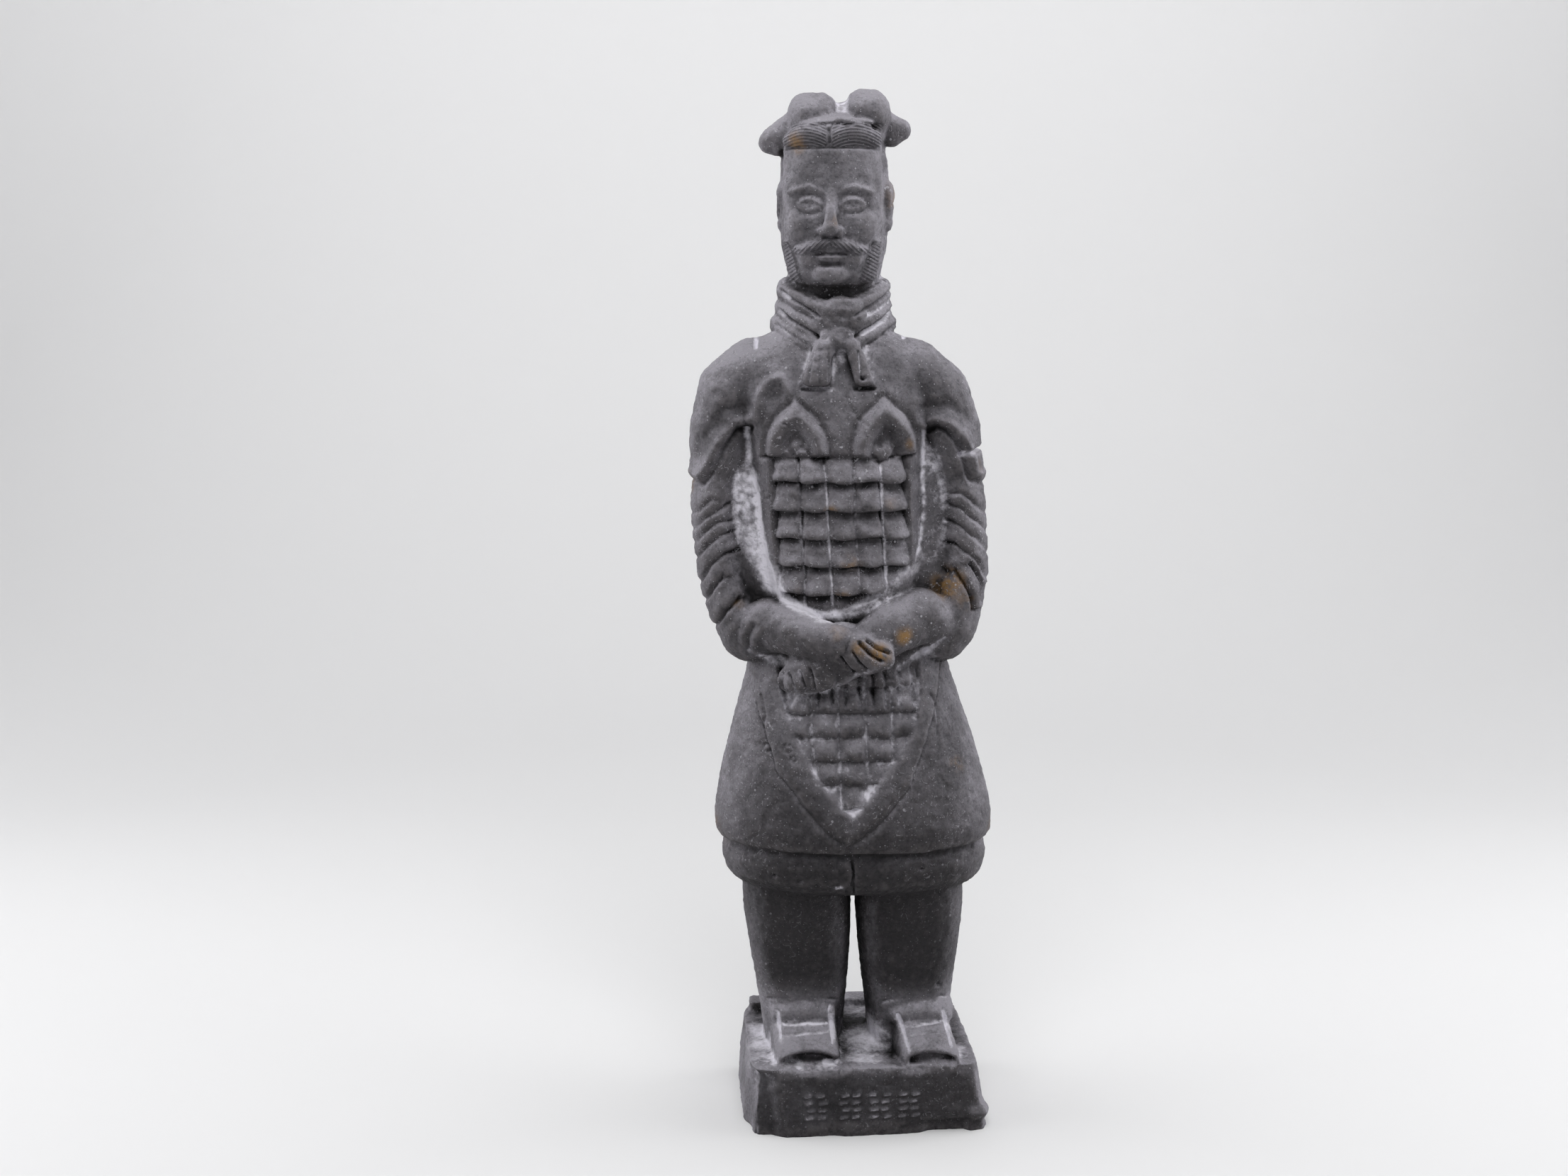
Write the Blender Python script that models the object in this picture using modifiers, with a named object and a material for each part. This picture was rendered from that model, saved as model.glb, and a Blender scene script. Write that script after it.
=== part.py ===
"""A small souvenir copy of an armoured general of the buried army, pressed in dark grey clay.

The figure, its shoes and its plinth are one casting, so the model is one solid. It faces -Y and
stands on z = 0, with the middle of the plinth's underside at the origin.

The figure is drawn in units of 1/308 of its own height, which are millimetres at its real size.
Heights in those units are counted from the soles, on top of the plinth. It is roughed out in
closed forms, which a voxel remesh fuses. They are then smoothed as wet clay would be, carved,
and cut down to flat facets.
"""

import math

import bmesh
import bpy
import numpy as np

# Sizes that are set by themselves, in metres.
FIGURE_HEIGHT = 0.308
PLINTH_WIDTH = 0.0735
PLINTH_DEPTH = 0.055
PLINTH_HEIGHT = 0.0225
PLINTH_FLARE = 0.0028
LEDGE_RISE = 0.0038
LEDGE_DEPTH = 0.0075
LEDGE_INSET = 0.0020

# The whole casting leans to its right by this share of its height.
LEAN = 0.033

DESIGN_HEIGHT = 308
UNIT = FIGURE_HEIGHT / DESIGN_HEIGHT

# The grain of the remesh is one figure unit. The smoothing and the facet count follow it.
GRAIN = UNIT
SMOOTHING_STEPS = 5
TRIANGLES = 9600

COLLECTION = "warrior_figurine"
NODE = "warrior_figurine"
CLAY_COLOUR = (0.085, 0.083, 0.088, 1.0)
CLAY_ROUGHNESS = 0.78

HEAD_TURN = math.radians(-4)
PLINTH_TURN = math.radians(4)

# How the figure sways sideways on its way up: height and shift.
SWAY = [(-22, 0.3), (0, 0.3), (85, 1.2), (125, 0.8), (180, -0.9), (222, -1.5), (250, -0.2), (285, 0.8)]

# Rows of a standing form: height, half width, depth to the front, depth to the back.
SKIRT = [
    (71, 43.4, 28.4, 27.2), (73.5, 45.0, 29.6, 28.2), (78, 45.2, 29.8, 28.4),
    (84, 44.5, 29.2, 27.8), (94, 42.2, 27.8, 26.4), (106, 38.9, 25.8, 24.4),
    (117, 35.4, 23.6, 22.6), (125, 33.0, 22.0, 21.2), (135, 31.0, 21.0, 20.2),
    (146, 28.0, 20.0, 19.0),
]
UNDER_SKIRT = [
    (54.5, 36.0, 20.0, 20.0), (57, 40.0, 24.5, 24.0), (60, 42.4, 27.2, 26.2),
    (65, 43.6, 28.0, 27.0), (70, 43.0, 27.8, 26.8), (75, 41.0, 26.0, 25.0),
]
VEST = [
    (135, 25.0, 19.0, 19.0), (150, 26.6, 21.8, 20.4), (170, 28.0, 23.6, 21.6),
    (190, 28.8, 24.2, 22.2), (203, 30.5, 23.2, 22.0), (213, 33.0, 21.2, 20.8),
    (221, 32.4, 19.0, 18.8), (227, 29.4, 16.8, 17.0), (231, 24.5, 14.6, 15.0),
    (234, 18.0, 13.0, 13.4), (251, 12.0, 11.0, 11.5),
]
WEB = [
    (138, 33.0, 8.0, 9.0), (155, 38.0, 8.0, 9.0), (190, 40.0, 8.0, 9.0),
    (206, 38.0, 9.0, 9.0),
]
LEG = [
    (-3, 13.6, 13.0, 15.0), (8, 14.2, 13.6, 15.4), (18, 15.0, 15.0, 16.0),
    (32, 16.5, 16.6, 17.0), (46, 17.2, 17.8, 18.0), (62, 17.2, 18.6, 18.6),
]
FACE = [
    (247.6, 9.0, 12.0, 6.0), (248.6, 12.8, 15.6, 9.0), (251.5, 15.0, 17.4, 13.0),
    (258, 15.7, 18.0, 16.0), (267, 16.2, 18.4, 18.0), (278, 16.2, 18.4, 18.8),
    (286, 15.6, 17.8, 18.4), (292, 14.8, 16.8, 17.2), (297, 12.5, 13.6, 14.0),
    (300, 8.0, 8.6, 9.0),
]
BACK_HAIR = [
    (243, 9.0, 0.0, 13.5), (248, 13.6, 0.0, 16.0), (260, 16.4, 0.0, 19.0),
    (274, 17.0, 0.6, 20.6), (284, 16.6, 1.6, 20.6), (293, 15.4, 3.0, 18.6),
    (300, 11.0, 3.0, 13.0),
]
SHOE = [
    (-25.6, 0.86, 2.6), (-24.6, 0.96, 4.0), (-20, 1, 7.6), (-15, 1.03, 11.6),
    (-10, 1.06, 14.6), (0, 1.1, 15.6), (14, 1.1, 13),
]

# Stations of a limb: x, y, height and three radii.
CAPE = [
    (15, -1, 225.5, 7, 11, 8), (25, -2, 222, 10, 13, 9.8), (31.6, -2, 214, 11.4, 14, 12),
    (35.2, -1.6, 203, 10.8, 14.4, 11), (37.2, -1, 193, 9.7, 14, 9.4),
]
SLEEVE = [
    (38.6, -1, 189, 8.1, 13, 8), (40.2, -1.5, 178, 6.9, 12.6, 8), (40.6, -2, 168, 6.6, 12.6, 8),
    (39.8, -2.6, 158, 6.8, 12.6, 8), (37.2, -4, 149.5, 7.6, 12.6, 8.2), (33, -6, 142, 9, 12.2, 9.2),
    (29.8, -7.5, 138.4, 9, 11.4, 8.6),
]
UNDER_FOREARM = [
    (31, -8, 141, 9.5, 10, 9.5), (24, -16, 146, 8, 8, 8.8), (15, -21.5, 143.5, 7.5, 7, 8.4),
    (6, -24.5, 138, 7, 6, 7.4), (-3, -25.5, 132.5, 6, 5, 6.7), (-11, -25, 128, 5.5, 4, 5.4),
    (-16.5, -24, 125.2, 4.4, 3.2, 3.6),
]
OVER_FOREARM = [
    (-31, -8, 139, 9.5, 10, 9.5), (-24, -16, 143, 8, 8, 8.6), (-16, -22, 141.8, 7, 7, 7.6),
    (-9, -26, 140, 6.5, 5.8, 6.6), (-2, -28.6, 138.4, 6, 4.8, 6.6), (5, -30, 136, 5.8, 3.8, 6.2),
    (10.2, -29.4, 135.6, 4, 3, 4.6),
]

# The armour of small plates on the chest, and the hems and flaps of the robe.
PLATES_LEFT, PLATES_RIGHT = -21.0, 19.2
PLATES_TOP, PLATES_BOTTOM = 196.2, 146.0
PLATE_COLUMNS = 5
PLATE_ROW = 8.9
APRON_EDGE = [(-30.2, 131), (-24.9, 102), (-3.3, 76), (12.7, 89.5), (23.3, 104), (30.1, 133)]
APRON_PLATES = [(-21, 131), (-14.2, 101.5), (-3, 85.2), (6.6, 97.5), (13.5, 112), (18, 131)]
APRON_ROW = 7.6


class Clay:
    """Closed forms, gathered point by point and face by face into one mesh."""

    def __init__(self):
        self.points, self.faces, self.count = [], [], 0
        bm = bmesh.new()
        bmesh.ops.create_uvsphere(bm, u_segments=16, v_segments=10, radius=1)
        self.ball_points = np.array([vert.co[:] for vert in bm.verts])
        self.ball_faces = [[vert.index for vert in face.verts] for face in bm.faces]
        bm.free()

    def add(self, points, faces):
        start = self.count
        self.points.append(points)
        self.faces += [[start + index for index in face] for face in faces]
        self.count += len(points)

    def add_figure(self, points, faces):
        """A form in the figure's units, with its heights counted from the soles."""
        self.add(np.array(points, float) * UNIT + (0, 0, PLINTH_HEIGHT), faces)

    def ball(self, centre, radii):
        self.add_figure(self.ball_points * radii + centre, self.ball_faces)

    def limb(self, stations, spacing=1.6):
        """A soft form laid along its stations."""
        for start, end in zip(stations, stations[1:]):
            start, end = np.array(start, float), np.array(end, float)
            steps = max(2, math.ceil(np.linalg.norm((end - start)[:3]) / spacing))
            for step in range(steps):
                station = start + (end - start) * step / steps
                self.ball(station[:3], station[3:])
        self.ball(stations[-1][:3], stations[-1][3:])

    def mesh(self):
        mesh = bpy.data.meshes.new("rough")
        mesh.from_pydata(np.concatenate(self.points).tolist(), [], self.faces)
        return mesh


def outline(half_width, front, back, squareness, points):
    """A rounded outline seen from above. Its corners sharpen as the squareness grows."""
    angle = 2 * np.pi * np.arange(points) / points
    x = np.sign(np.cos(angle)) * np.abs(np.cos(angle)) ** (2 / squareness)
    y = np.sign(np.sin(angle)) * np.abs(np.sin(angle)) ** (2 / squareness)
    return x * half_width, np.where(y < 0, y * front, y * back)


def loft_faces(rings, points):
    """The sides and the two flat ends of a form through rings of points."""
    faces = [list(range(points))[::-1], list(range((rings - 1) * points, rings * points))]
    for ring in range(rings - 1):
        for step in range(points):
            low, after = ring * points + step, ring * points + (step + 1) % points
            faces.append([low, after, after + points, low + points])
    return faces


def standing(rows, middle=(0, 0), squareness=2.3, turn=0.0, points=56):
    """A form through level outlines, such as a robe, a leg or a head."""
    rings = []
    for height, *sides in rows:
        x, y = outline(*sides, squareness, points)
        x, y = x + middle[0], y + middle[1]
        turned_x = x * math.cos(turn) - y * math.sin(turn)
        turned_y = x * math.sin(turn) + y * math.cos(turn)
        rings.append(np.stack([turned_x, turned_y, np.full(points, float(height))], axis=1))
    return np.concatenate(rings), loft_faces(len(rings), points)


def mirrored(stations):
    return [(-x, *rest) for x, *rest in stations]


def turned(x, y):
    """Where a point of the face goes as the head turns."""
    return (x * math.cos(HEAD_TURN) - y * math.sin(HEAD_TURN),
            x * math.sin(HEAD_TURN) + y * math.cos(HEAD_TURN))


def on_face(stations):
    return [(*turned(x, y), *rest) for x, y, *rest in stations]


def add_scarf(clay):
    """Three rolls that dip at the throat, a knot, and two tails on the chest."""
    around = 44
    for side_height, dip, half_width, depth, radius in (
        (246.2, 5.0, 14.9, 13.6, 3.9), (240.4, 6.4, 16.2, 15.0, 3.7), (234.6, 4.4, 18.2, 15.6, 3.0),
    ):
        for step in range(around):
            angle = 2 * math.pi * step / around
            towards_throat = (1 - math.sin(angle)) / 2
            height = side_height + dip * (0.35 - 1.35 * towards_throat**1.6)
            centre = (half_width * math.cos(angle), depth * math.sin(angle), height)
            clay.ball(centre, (radius, radius, radius))
    clay.ball((0.7, -16.8, 232.2), (9, 3.9, 6.4))
    for side, foot, width in ((-1, -7.4, 4.9), (1, 7.5, 3.7)):
        clay.limb([
            (side * 3.6, -17.6, 230.5, 3.2, 2.6, 2), (foot - side * 1.6, -20.2, 224, width * 0.8, 2.4, 2),
            (foot, -22.2, 219.8, width, 2.2, 1.7)], 1)


def add_head(clay):
    """The face, the hair and a flat plait behind it, and the ears."""
    clay.add_figure(*standing(FACE, middle=(0, -1), squareness=2.7, turn=HEAD_TURN))
    clay.add_figure(*standing(BACK_HAIR, squareness=2.4, turn=HEAD_TURN))
    clay.limb([(0, 17, 287, 4, 3, 3), (0, 19, 272, 4.6, 3.4, 4), (0, 17.6, 256, 4, 3.2, 4)], 1)
    for side in (-1, 1):
        x, y = turned(side * 17.0, -0.6)
        clay.ball((x, y, 279.5), (2.2, 3.8, 4.8))
        clay.ball((x * 0.99, y, 272), (1.8, 2.8, 5.4))
        clay.limb(on_face([
            (side * 1.6, -19.0, 279.4, 1.6, 1.5, 1.2), (side * 5.5, -18.6, 282, 2.4, 1.6, 1.3),
            (side * 11.8, -15.8, 281.2, 2.4, 1.6, 1.3)]), 1)
        clay.ball((*turned(side * 6.9, -17.6), 275.4), (3.4, 1.9, 2))
        clay.ball((*turned(side * 8.6, -15.4), 267.5), (5.4, 3.8, 5.4))
        clay.ball((*turned(side * 3.0, -20.6), 266.6), (1.9, 2.2, 1.9))
        clay.limb(on_face([
            (side * 0.8, -20.6, 263.2, 1.8, 1.6, 1.3), (side * 5.4, -19.4, 262, 2.2, 1.6, 1.6),
            (side * 9.6, -17.0, 260.2, 1.6, 1.4, 1.2), (side * 11.4, -15.8, 260.8, 1.1, 1.2, 1)]), 1)
    clay.limb(on_face([
        (0, -18.6, 279.5, 1.7, 1.8, 2), (0, -21.2, 272, 1.9, 2.4, 2.4),
        (0, -22.8, 267.4, 2.7, 2.9, 2.3)]), 1)
    clay.ball((*turned(0, -19.6), 257.4), (4.6, 1.8, 1.7))
    clay.ball((*turned(0, -16.8), 252.6), (6.4, 3.9, 3.8))


def add_cap_and_hair(clay):
    """The combed hair over the brow, and the cap with two lobes and a curl at each side."""
    clay.limb(on_face([
        (-1.8, -17.2, 293.2, 2.4, 2.4, 2.9), (-8, -15.8, 293.6, 3, 2.8, 3.9),
        (-14.6, -10, 290.8, 2.5, 3.4, 3.7)]), 1)
    clay.limb(on_face([
        (1.4, -17.2, 293.2, 2.4, 2.4, 2.9), (7.8, -15.8, 294, 3, 2.8, 3.9),
        (14.8, -10, 291.4, 2.4, 3.4, 3.7)]), 1)
    clay.ball((1.2, 1.2, 294.0), (15.6, 15.4, 7.0))
    clay.limb([(-7.6, -11, 297, 2, 4, 1.2), (1, -13, 298.6, 2, 4, 1.4), (9.6, -11.6, 298.2, 2, 4, 1.2)], 1)
    for left, right, top in ((-9.4, -4.8, 306.7), (9.4, 12.6, 307.6)):
        for x in (left, (left + right) / 2, right):
            clay.ball((x, -1.5, top - 7.4), (5.3, 10, 7.4))
            clay.ball((x, 8, top - 9.4), (5.3, 9, 7.2))
    clay.limb([(-12.6, 1, 296.6, 4.6, 5, 4.4), (-17, 1, 293.6, 4.2, 4.6, 4.4), (-20, 1, 291.8, 3.2, 4, 3.6)])
    clay.ball((-17.2, 1, 291.2), (3.8, 4, 3.6))
    clay.limb([(15.6, 1, 297.4, 4.4, 5, 4.2), (20.8, 1, 295.6, 3.6, 4, 3.4)])
    clay.ball((18, 1, 293.8), (3.8, 4, 3.4))


def add_legs_and_shoes(clay):
    """Straight wide legs a narrow gap apart, in square toed shoes."""
    for middle in (-19.3, 18.2):
        clay.add_figure(*standing(LEG, middle=(middle, 0), squareness=2.5, points=44))
    points = 40
    for heel_x, toe_x, half_width in ((-17.8, -16.4, 10.4), (20.4, 23.6, 9.6)):
        rings = []
        for y, spread, top in SHOE:
            share = (y - SHOE[0][0]) / (SHOE[-1][0] - SHOE[0][0])
            middle = toe_x + (heel_x - toe_x) * min(1, share * 2.4)
            x, up = outline(half_width * spread, 4, top, 3.4, points)
            rings.append(np.stack([x + middle, np.full(points, float(y)), up], axis=1))
        clay.add_figure(np.concatenate(rings), loft_faces(len(rings), points))


def turned_about(points, turn):
    x = points[:, 0] * math.cos(turn) - points[:, 1] * math.sin(turn)
    y = points[:, 0] * math.sin(turn) + points[:, 1] * math.cos(turn)
    return np.stack([x, y, points[:, 2]], axis=1)


def add_plinth(clay):
    """The block under the shoes, flared at its foot, with a raised ledge behind the heels."""
    half_width, half_depth = PLINTH_WIDTH / 2, PLINTH_DEPTH / 2
    below = 3 * GRAIN
    rings, points = [], 72
    for z, flare in ((-below, PLINTH_FLARE * 1.1), (PLINTH_HEIGHT * 0.3, PLINTH_FLARE * 0.8),
                     (PLINTH_HEIGHT, 0)):
        x, y = outline(half_width + flare, half_depth + flare * 0.6, half_depth, 9, points)
        rings.append(np.stack([x, y, np.full(points, z)], axis=1))
    clay.add(turned_about(np.concatenate(rings), PLINTH_TURN), loft_faces(len(rings), points))
    ledge = []
    for z in (PLINTH_HEIGHT * 0.4, PLINTH_HEIGHT + LEDGE_RISE):
        x, y = outline(half_width - LEDGE_INSET, LEDGE_DEPTH / 2, LEDGE_DEPTH / 2, 9, points)
        y = y + half_depth - LEDGE_DEPTH / 2
        ledge.append(np.stack([x, y, np.full(points, z)], axis=1))
    clay.add(turned_about(np.concatenate(ledge), PLINTH_TURN), loft_faces(len(ledge), points))


def rough_out():
    """All the closed forms of the casting, in one mesh."""
    clay = Clay()
    clay.add_figure(*standing(SKIRT))
    clay.add_figure(*standing(UNDER_SKIRT))
    clay.add_figure(*standing(VEST, squareness=2.9))
    clay.add_figure(*standing(WEB, squareness=3.4))
    for stations in (CAPE, SLEEVE):
        clay.limb(stations)
        clay.limb(mirrored(stations))
    clay.limb(UNDER_FOREARM)
    clay.limb(OVER_FOREARM)
    add_legs_and_shoes(clay)
    add_plinth(clay)
    add_scarf(clay)
    add_head(clay)
    add_cap_and_hair(clay)
    return clay.mesh()


def with_modifiers(mesh, *settings):
    """The mesh after a stack of modifiers, as a new mesh."""
    rough = bpy.data.objects.new("rough", mesh)
    bpy.context.scene.collection.objects.link(rough)
    for kind, values in settings:
        modifier = rough.modifiers.new(kind.lower(), kind)
        for name, value in values.items():
            setattr(modifier, name, value)
    evaluated = rough.evaluated_get(bpy.context.evaluated_depsgraph_get())
    made = bpy.data.meshes.new_from_object(evaluated)
    bpy.data.objects.remove(rough)
    bpy.data.meshes.remove(mesh)
    return made


def ramp(value, start, end):
    """0 before the start, 1 past the end, and a soft rise between them."""
    share = np.clip((value - start) / (end - start), 0, 1)
    return share * share * (3 - 2 * share)


def ridge(distance, half_width):
    """1 on a line, falling softly to 0 at the half width."""
    return 1 - ramp(np.abs(distance), 0, half_width)


def to_polyline(x, h, points):
    """The distance from a polyline drawn on the front of the figure."""
    nearest = np.full(x.shape, 1e9)
    for (x0, h0), (x1, h1) in zip(points, points[1:]):
        length = (x1 - x0) ** 2 + (h1 - h0) ** 2
        share = np.clip(((x - x0) * (x1 - x0) + (h - h0) * (h1 - h0)) / length, 0, 1)
        away = np.hypot(x - x0 - share * (x1 - x0), h - h0 - share * (h1 - h0))
        nearest = np.minimum(nearest, away)
    return nearest


def inside_v(x, h, points):
    """How far a point lies above a V drawn from left to right."""
    line_x, line_h = [p[0] for p in points], [p[1] for p in points]
    return h - np.interp(x, line_x, line_h, left=1e3, right=1e3)


def carve_armour(x, h, front):
    """The plates and the two arched bands on the chest, and the vest's side borders."""
    depth = np.zeros_like(x)
    row = (PLATES_TOP - h) / PLATE_ROW
    along = row - np.floor(row)
    column = (x - PLATES_LEFT) / (PLATES_RIGHT - PLATES_LEFT) * PLATE_COLUMNS
    across = np.abs(column - np.round(column)) * (PLATES_RIGHT - PLATES_LEFT) / PLATE_COLUMNS
    panel = ramp(x, PLATES_LEFT - 0.6, PLATES_LEFT + 0.6) * ramp(-x, -PLATES_RIGHT - 0.6, -PLATES_RIGHT + 0.6)
    panel *= ramp(h, PLATES_BOTTOM - 1, PLATES_BOTTOM + 1) * ramp(-h, -PLATES_TOP - 0.3, -PLATES_TOP + 0.3)
    scales = 1.5 * ramp(along, 0.12, 0.85) - 1.25 - 0.55 * ridge(across, 1.1)
    depth += panel * scales
    on_chest = ramp(h, PLATES_TOP - 0.2, PLATES_TOP + 0.5)
    for middle, foot, half_width, rise in ((-14.4, 197.2, 10.4, 11.6), (13.0, 197.4, 10.2, 13.0)):
        r = np.hypot((x - middle) / half_width, (h - foot) / rise)
        depth += on_chest * (1.0 * ridge(r - 1, 0.2) - 0.9 * (1 - ramp(r, 0.7, 0.9)))
    return depth * front


def carve_apron(x, h, front):
    """The pointed front of the armour over the skirt, with its border and small plates."""
    depth = np.zeros_like(x)
    level = ramp(h, 70, 76) * ramp(-h, -132, -126)
    edge = inside_v(x, h, APRON_EDGE)
    plates = inside_v(x, h, APRON_PLATES)
    depth += level * (0.7 * ramp(edge, -0.5, 0.9) - 0.45 * ridge(edge + 1.6, 1.8))
    row = (h - 93.6) / APRON_ROW
    along = np.abs(row - np.round(row)) * APRON_ROW
    column = (x + 4.2) / 8.4
    across = np.abs(column - np.round(column)) * 8.4
    small = -1.1 + 0.5 * ramp(along, 0.2, 1.8) * ramp(across, 0.2, 1.6)
    depth += level * ramp(plates, -0.8, 1.2) * small
    return depth * front


def carve_sleeves(x, h, outside):
    """The shoulder guard's pointed lower edge, and the folds that swing round the elbow."""
    side = np.abs(x)
    guard_start = ramp(side, 27.5, 31)
    inner = np.interp(h, [140, 150, 165, 195, 205], [25, 30, 33, 33, 29])
    point = np.interp(side, [27, 31, 41, 50], [209, 206, 190, 183.5])
    guard = 1.1 * ramp(h - point, -1.2, 0.6) * (1 - ramp(h - point, 4, 16)) * ramp(h, 178, 184)
    swing = np.interp(h, [136, 146, 160, 176, 190], [1.9, 1.35, 0.85, 0.55, 0.3])
    phase = (h + swing * (side - 40.5) - 139.5) / 9.3
    fold = phase - np.floor(phase)
    sleeve = ramp(side, inner, inner + 2.5) * ramp(-(h - point), 2.5, 5) * ramp(h, 134, 138)
    folds = 1.25 * ramp(fold, 0.08, 0.5) - 1.1 - 0.35 * ramp(fold, 0.6, 1.0)
    return outside * (guard_start * guard + sleeve * folds)


def carve_hands(x, y, h, front):
    """Slits between the fingers of both hands."""
    depth = np.zeros_like(x)
    proud = ramp(-y, 24.5, 27)
    for step in range(3):
        top_x, top_h = 0.6 + 3.2 * step, 139.8 - 0.3 * step
        depth -= 1.2 * proud * ridge(to_polyline(x, h, [(top_x, top_h), (top_x + 4.2, top_h - 6)]), 0.9)
        low_x = -18.2 + 2.7 * step
        depth -= 0.9 * ridge(to_polyline(x, h, [(low_x, 128.6), (low_x + 0.7, 122)]), 0.9)
    return depth * front


def carve_head(x, y, h):
    """Eye sockets, the hair's border round the face, its combed bands and the hatched whiskers."""
    face_x = x * math.cos(-HEAD_TURN) - y * math.sin(-HEAD_TURN)
    face_y = x * math.sin(-HEAD_TURN) + y * math.cos(-HEAD_TURN)
    front = ramp(-face_y, 6, 11)
    depth = np.zeros_like(x)
    for side in (-1, 1):
        away = np.hypot((face_x - side * 6.8) / 5.2, (h - 276.4) / 3.6)
        lids = np.hypot((face_x - side * 6.8) / 3.4, (h - 275.4) / 1.9)
        depth -= 0.9 * (1 - ramp(away, 0.4, 1.0)) * ramp(lids, 0.7, 1.1) * front
    border = np.interp(h, [250, 262, 276, 288], [14.0, 15.6, 16.3, 16.3])
    depth -= 0.8 * ridge(np.abs(face_x) - border, 1.0) * ramp(h, 251, 254) * ramp(-h, -289, -287) * ramp(-face_y, 1, 4)
    combed = ramp(h, 288.6, 290.4) * ramp(-h, -297.6, -296.4) * ramp(-face_y, 8, 12)
    bend = (h + 0.035 * face_x**2) / 1.7
    depth += combed * 0.28 * np.cos(2 * math.pi * bend)
    depth -= combed * 1.0 * ridge(face_x + 0.2, 1.2)
    mouth = ridge(to_polyline(face_x, h, [(-5.4, 259.2), (0, 260.0), (5.4, 259.2)]), 0.8)
    depth -= 0.7 * mouth * front
    return depth


def carve(points, normals):
    """Move each point of the clay in or out, by its place on the figure."""
    x, y = points[:, 0] / UNIT, points[:, 1] / UNIT
    h = (points[:, 2] - PLINTH_HEIGHT) / UNIT
    front = ramp(-normals[:, 1], 0.1, 0.55)
    outside = ramp(np.abs(normals[:, 0]) + np.abs(normals[:, 1]), 0.3, 0.6)
    depth = carve_armour(x, h, front * ramp(-y, 15, 18)) + carve_apron(x, h, front)
    depth += carve_sleeves(x, h, outside) + carve_hands(x, y, h, front)
    head = ramp(h, 248.4, 249.4)
    depth += head * carve_head(x, y, h)
    notch = ridge(to_polyline(x, h, [(38.5, 196.6), (47, 197.4)]), 1.3)
    depth -= 2.4 * notch * ramp(x, 36, 39)
    slit = ridge(x + 0.9, 0.9) * ramp(h, 55, 59) * ramp(-h, -70, -66) * front
    depth -= 0.8 * slit
    return points + normals * (depth * UNIT)[:, None]


def carved(mesh):
    """The remeshed clay, carved and leaning."""
    count = len(mesh.vertices)
    points, normals = np.empty(count * 3, np.float32), np.empty(count * 3, np.float32)
    mesh.vertices.foreach_get("co", points)
    mesh.vertex_normals.foreach_get("vector", normals)
    points = carve(points.reshape(-1, 3).astype(float), normals.reshape(-1, 3).astype(float))
    sway = np.interp(points[:, 2], [PLINTH_HEIGHT + h * UNIT for h, _ in SWAY], [x * UNIT for _, x in SWAY])
    points[:, 0] += sway - LEAN * points[:, 2]
    mesh.vertices.foreach_set("co", points.astype(np.float32).ravel())
    mesh.update()
    return mesh


def cut_flat(mesh):
    """Slice the casting off level at z = 0 and close it there."""
    bm = bmesh.new()
    bm.from_mesh(mesh)
    parts = bm.verts[:] + bm.edges[:] + bm.faces[:]
    cut = bmesh.ops.bisect_plane(
        bm, geom=parts, dist=UNIT * 0.01, plane_co=(0, 0, 0), plane_no=(0, 0, 1), clear_inner=True)
    rim = [part for part in cut["geom_cut"] if isinstance(part, bmesh.types.BMEdge)]
    for vert in {vert for edge in rim for vert in edge.verts}:
        vert.co.z = 0
    bmesh.ops.contextual_create(bm, geom=rim)
    bmesh.ops.triangulate(bm, faces=bm.faces)
    bmesh.ops.recalc_face_normals(bm, faces=bm.faces)
    bm.to_mesh(mesh)
    bm.free()
    return mesh


def clay_material():
    material = bpy.data.materials.new("fired_clay")
    material.use_nodes = True
    shader = material.node_tree.nodes["Principled BSDF"]
    shader.inputs["Base Color"].default_value = CLAY_COLOUR
    shader.inputs["Roughness"].default_value = CLAY_ROUGHNESS
    shader.inputs["Metallic"].default_value = 0
    return material


def main():
    for obj in list(bpy.data.objects):
        bpy.data.objects.remove(obj)
    fused = with_modifiers(
        rough_out(),
        ("REMESH", {"mode": "VOXEL", "voxel_size": GRAIN}),
        ("SMOOTH", {"factor": 0.5, "iterations": SMOOTHING_STEPS}),
    )
    fine = carved(fused)
    share = TRIANGLES / (2 * len(fine.polygons))
    mesh = cut_flat(with_modifiers(fine, ("DECIMATE", {"ratio": share})))
    mesh.name = NODE
    mesh.materials.append(clay_material())
    casting = bpy.data.objects.new(NODE, mesh)
    collection = bpy.data.collections.new(COLLECTION)
    bpy.context.scene.collection.children.link(collection)
    collection.objects.link(casting)


main()
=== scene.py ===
"""The looks of a small clay general: its carved and weathered surface, and the light tent round it.

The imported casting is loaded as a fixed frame. One finely carved piece takes its place. It is
roughed out in closed forms, fused by a voxel remesh, smoothed, carved by functions of its place
on the figure, and coloured by a clay material that reads what the carving wrote on its points.

The figure is drawn in units of 1/308 of its height. Heights are counted from its soles.
"""

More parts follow.
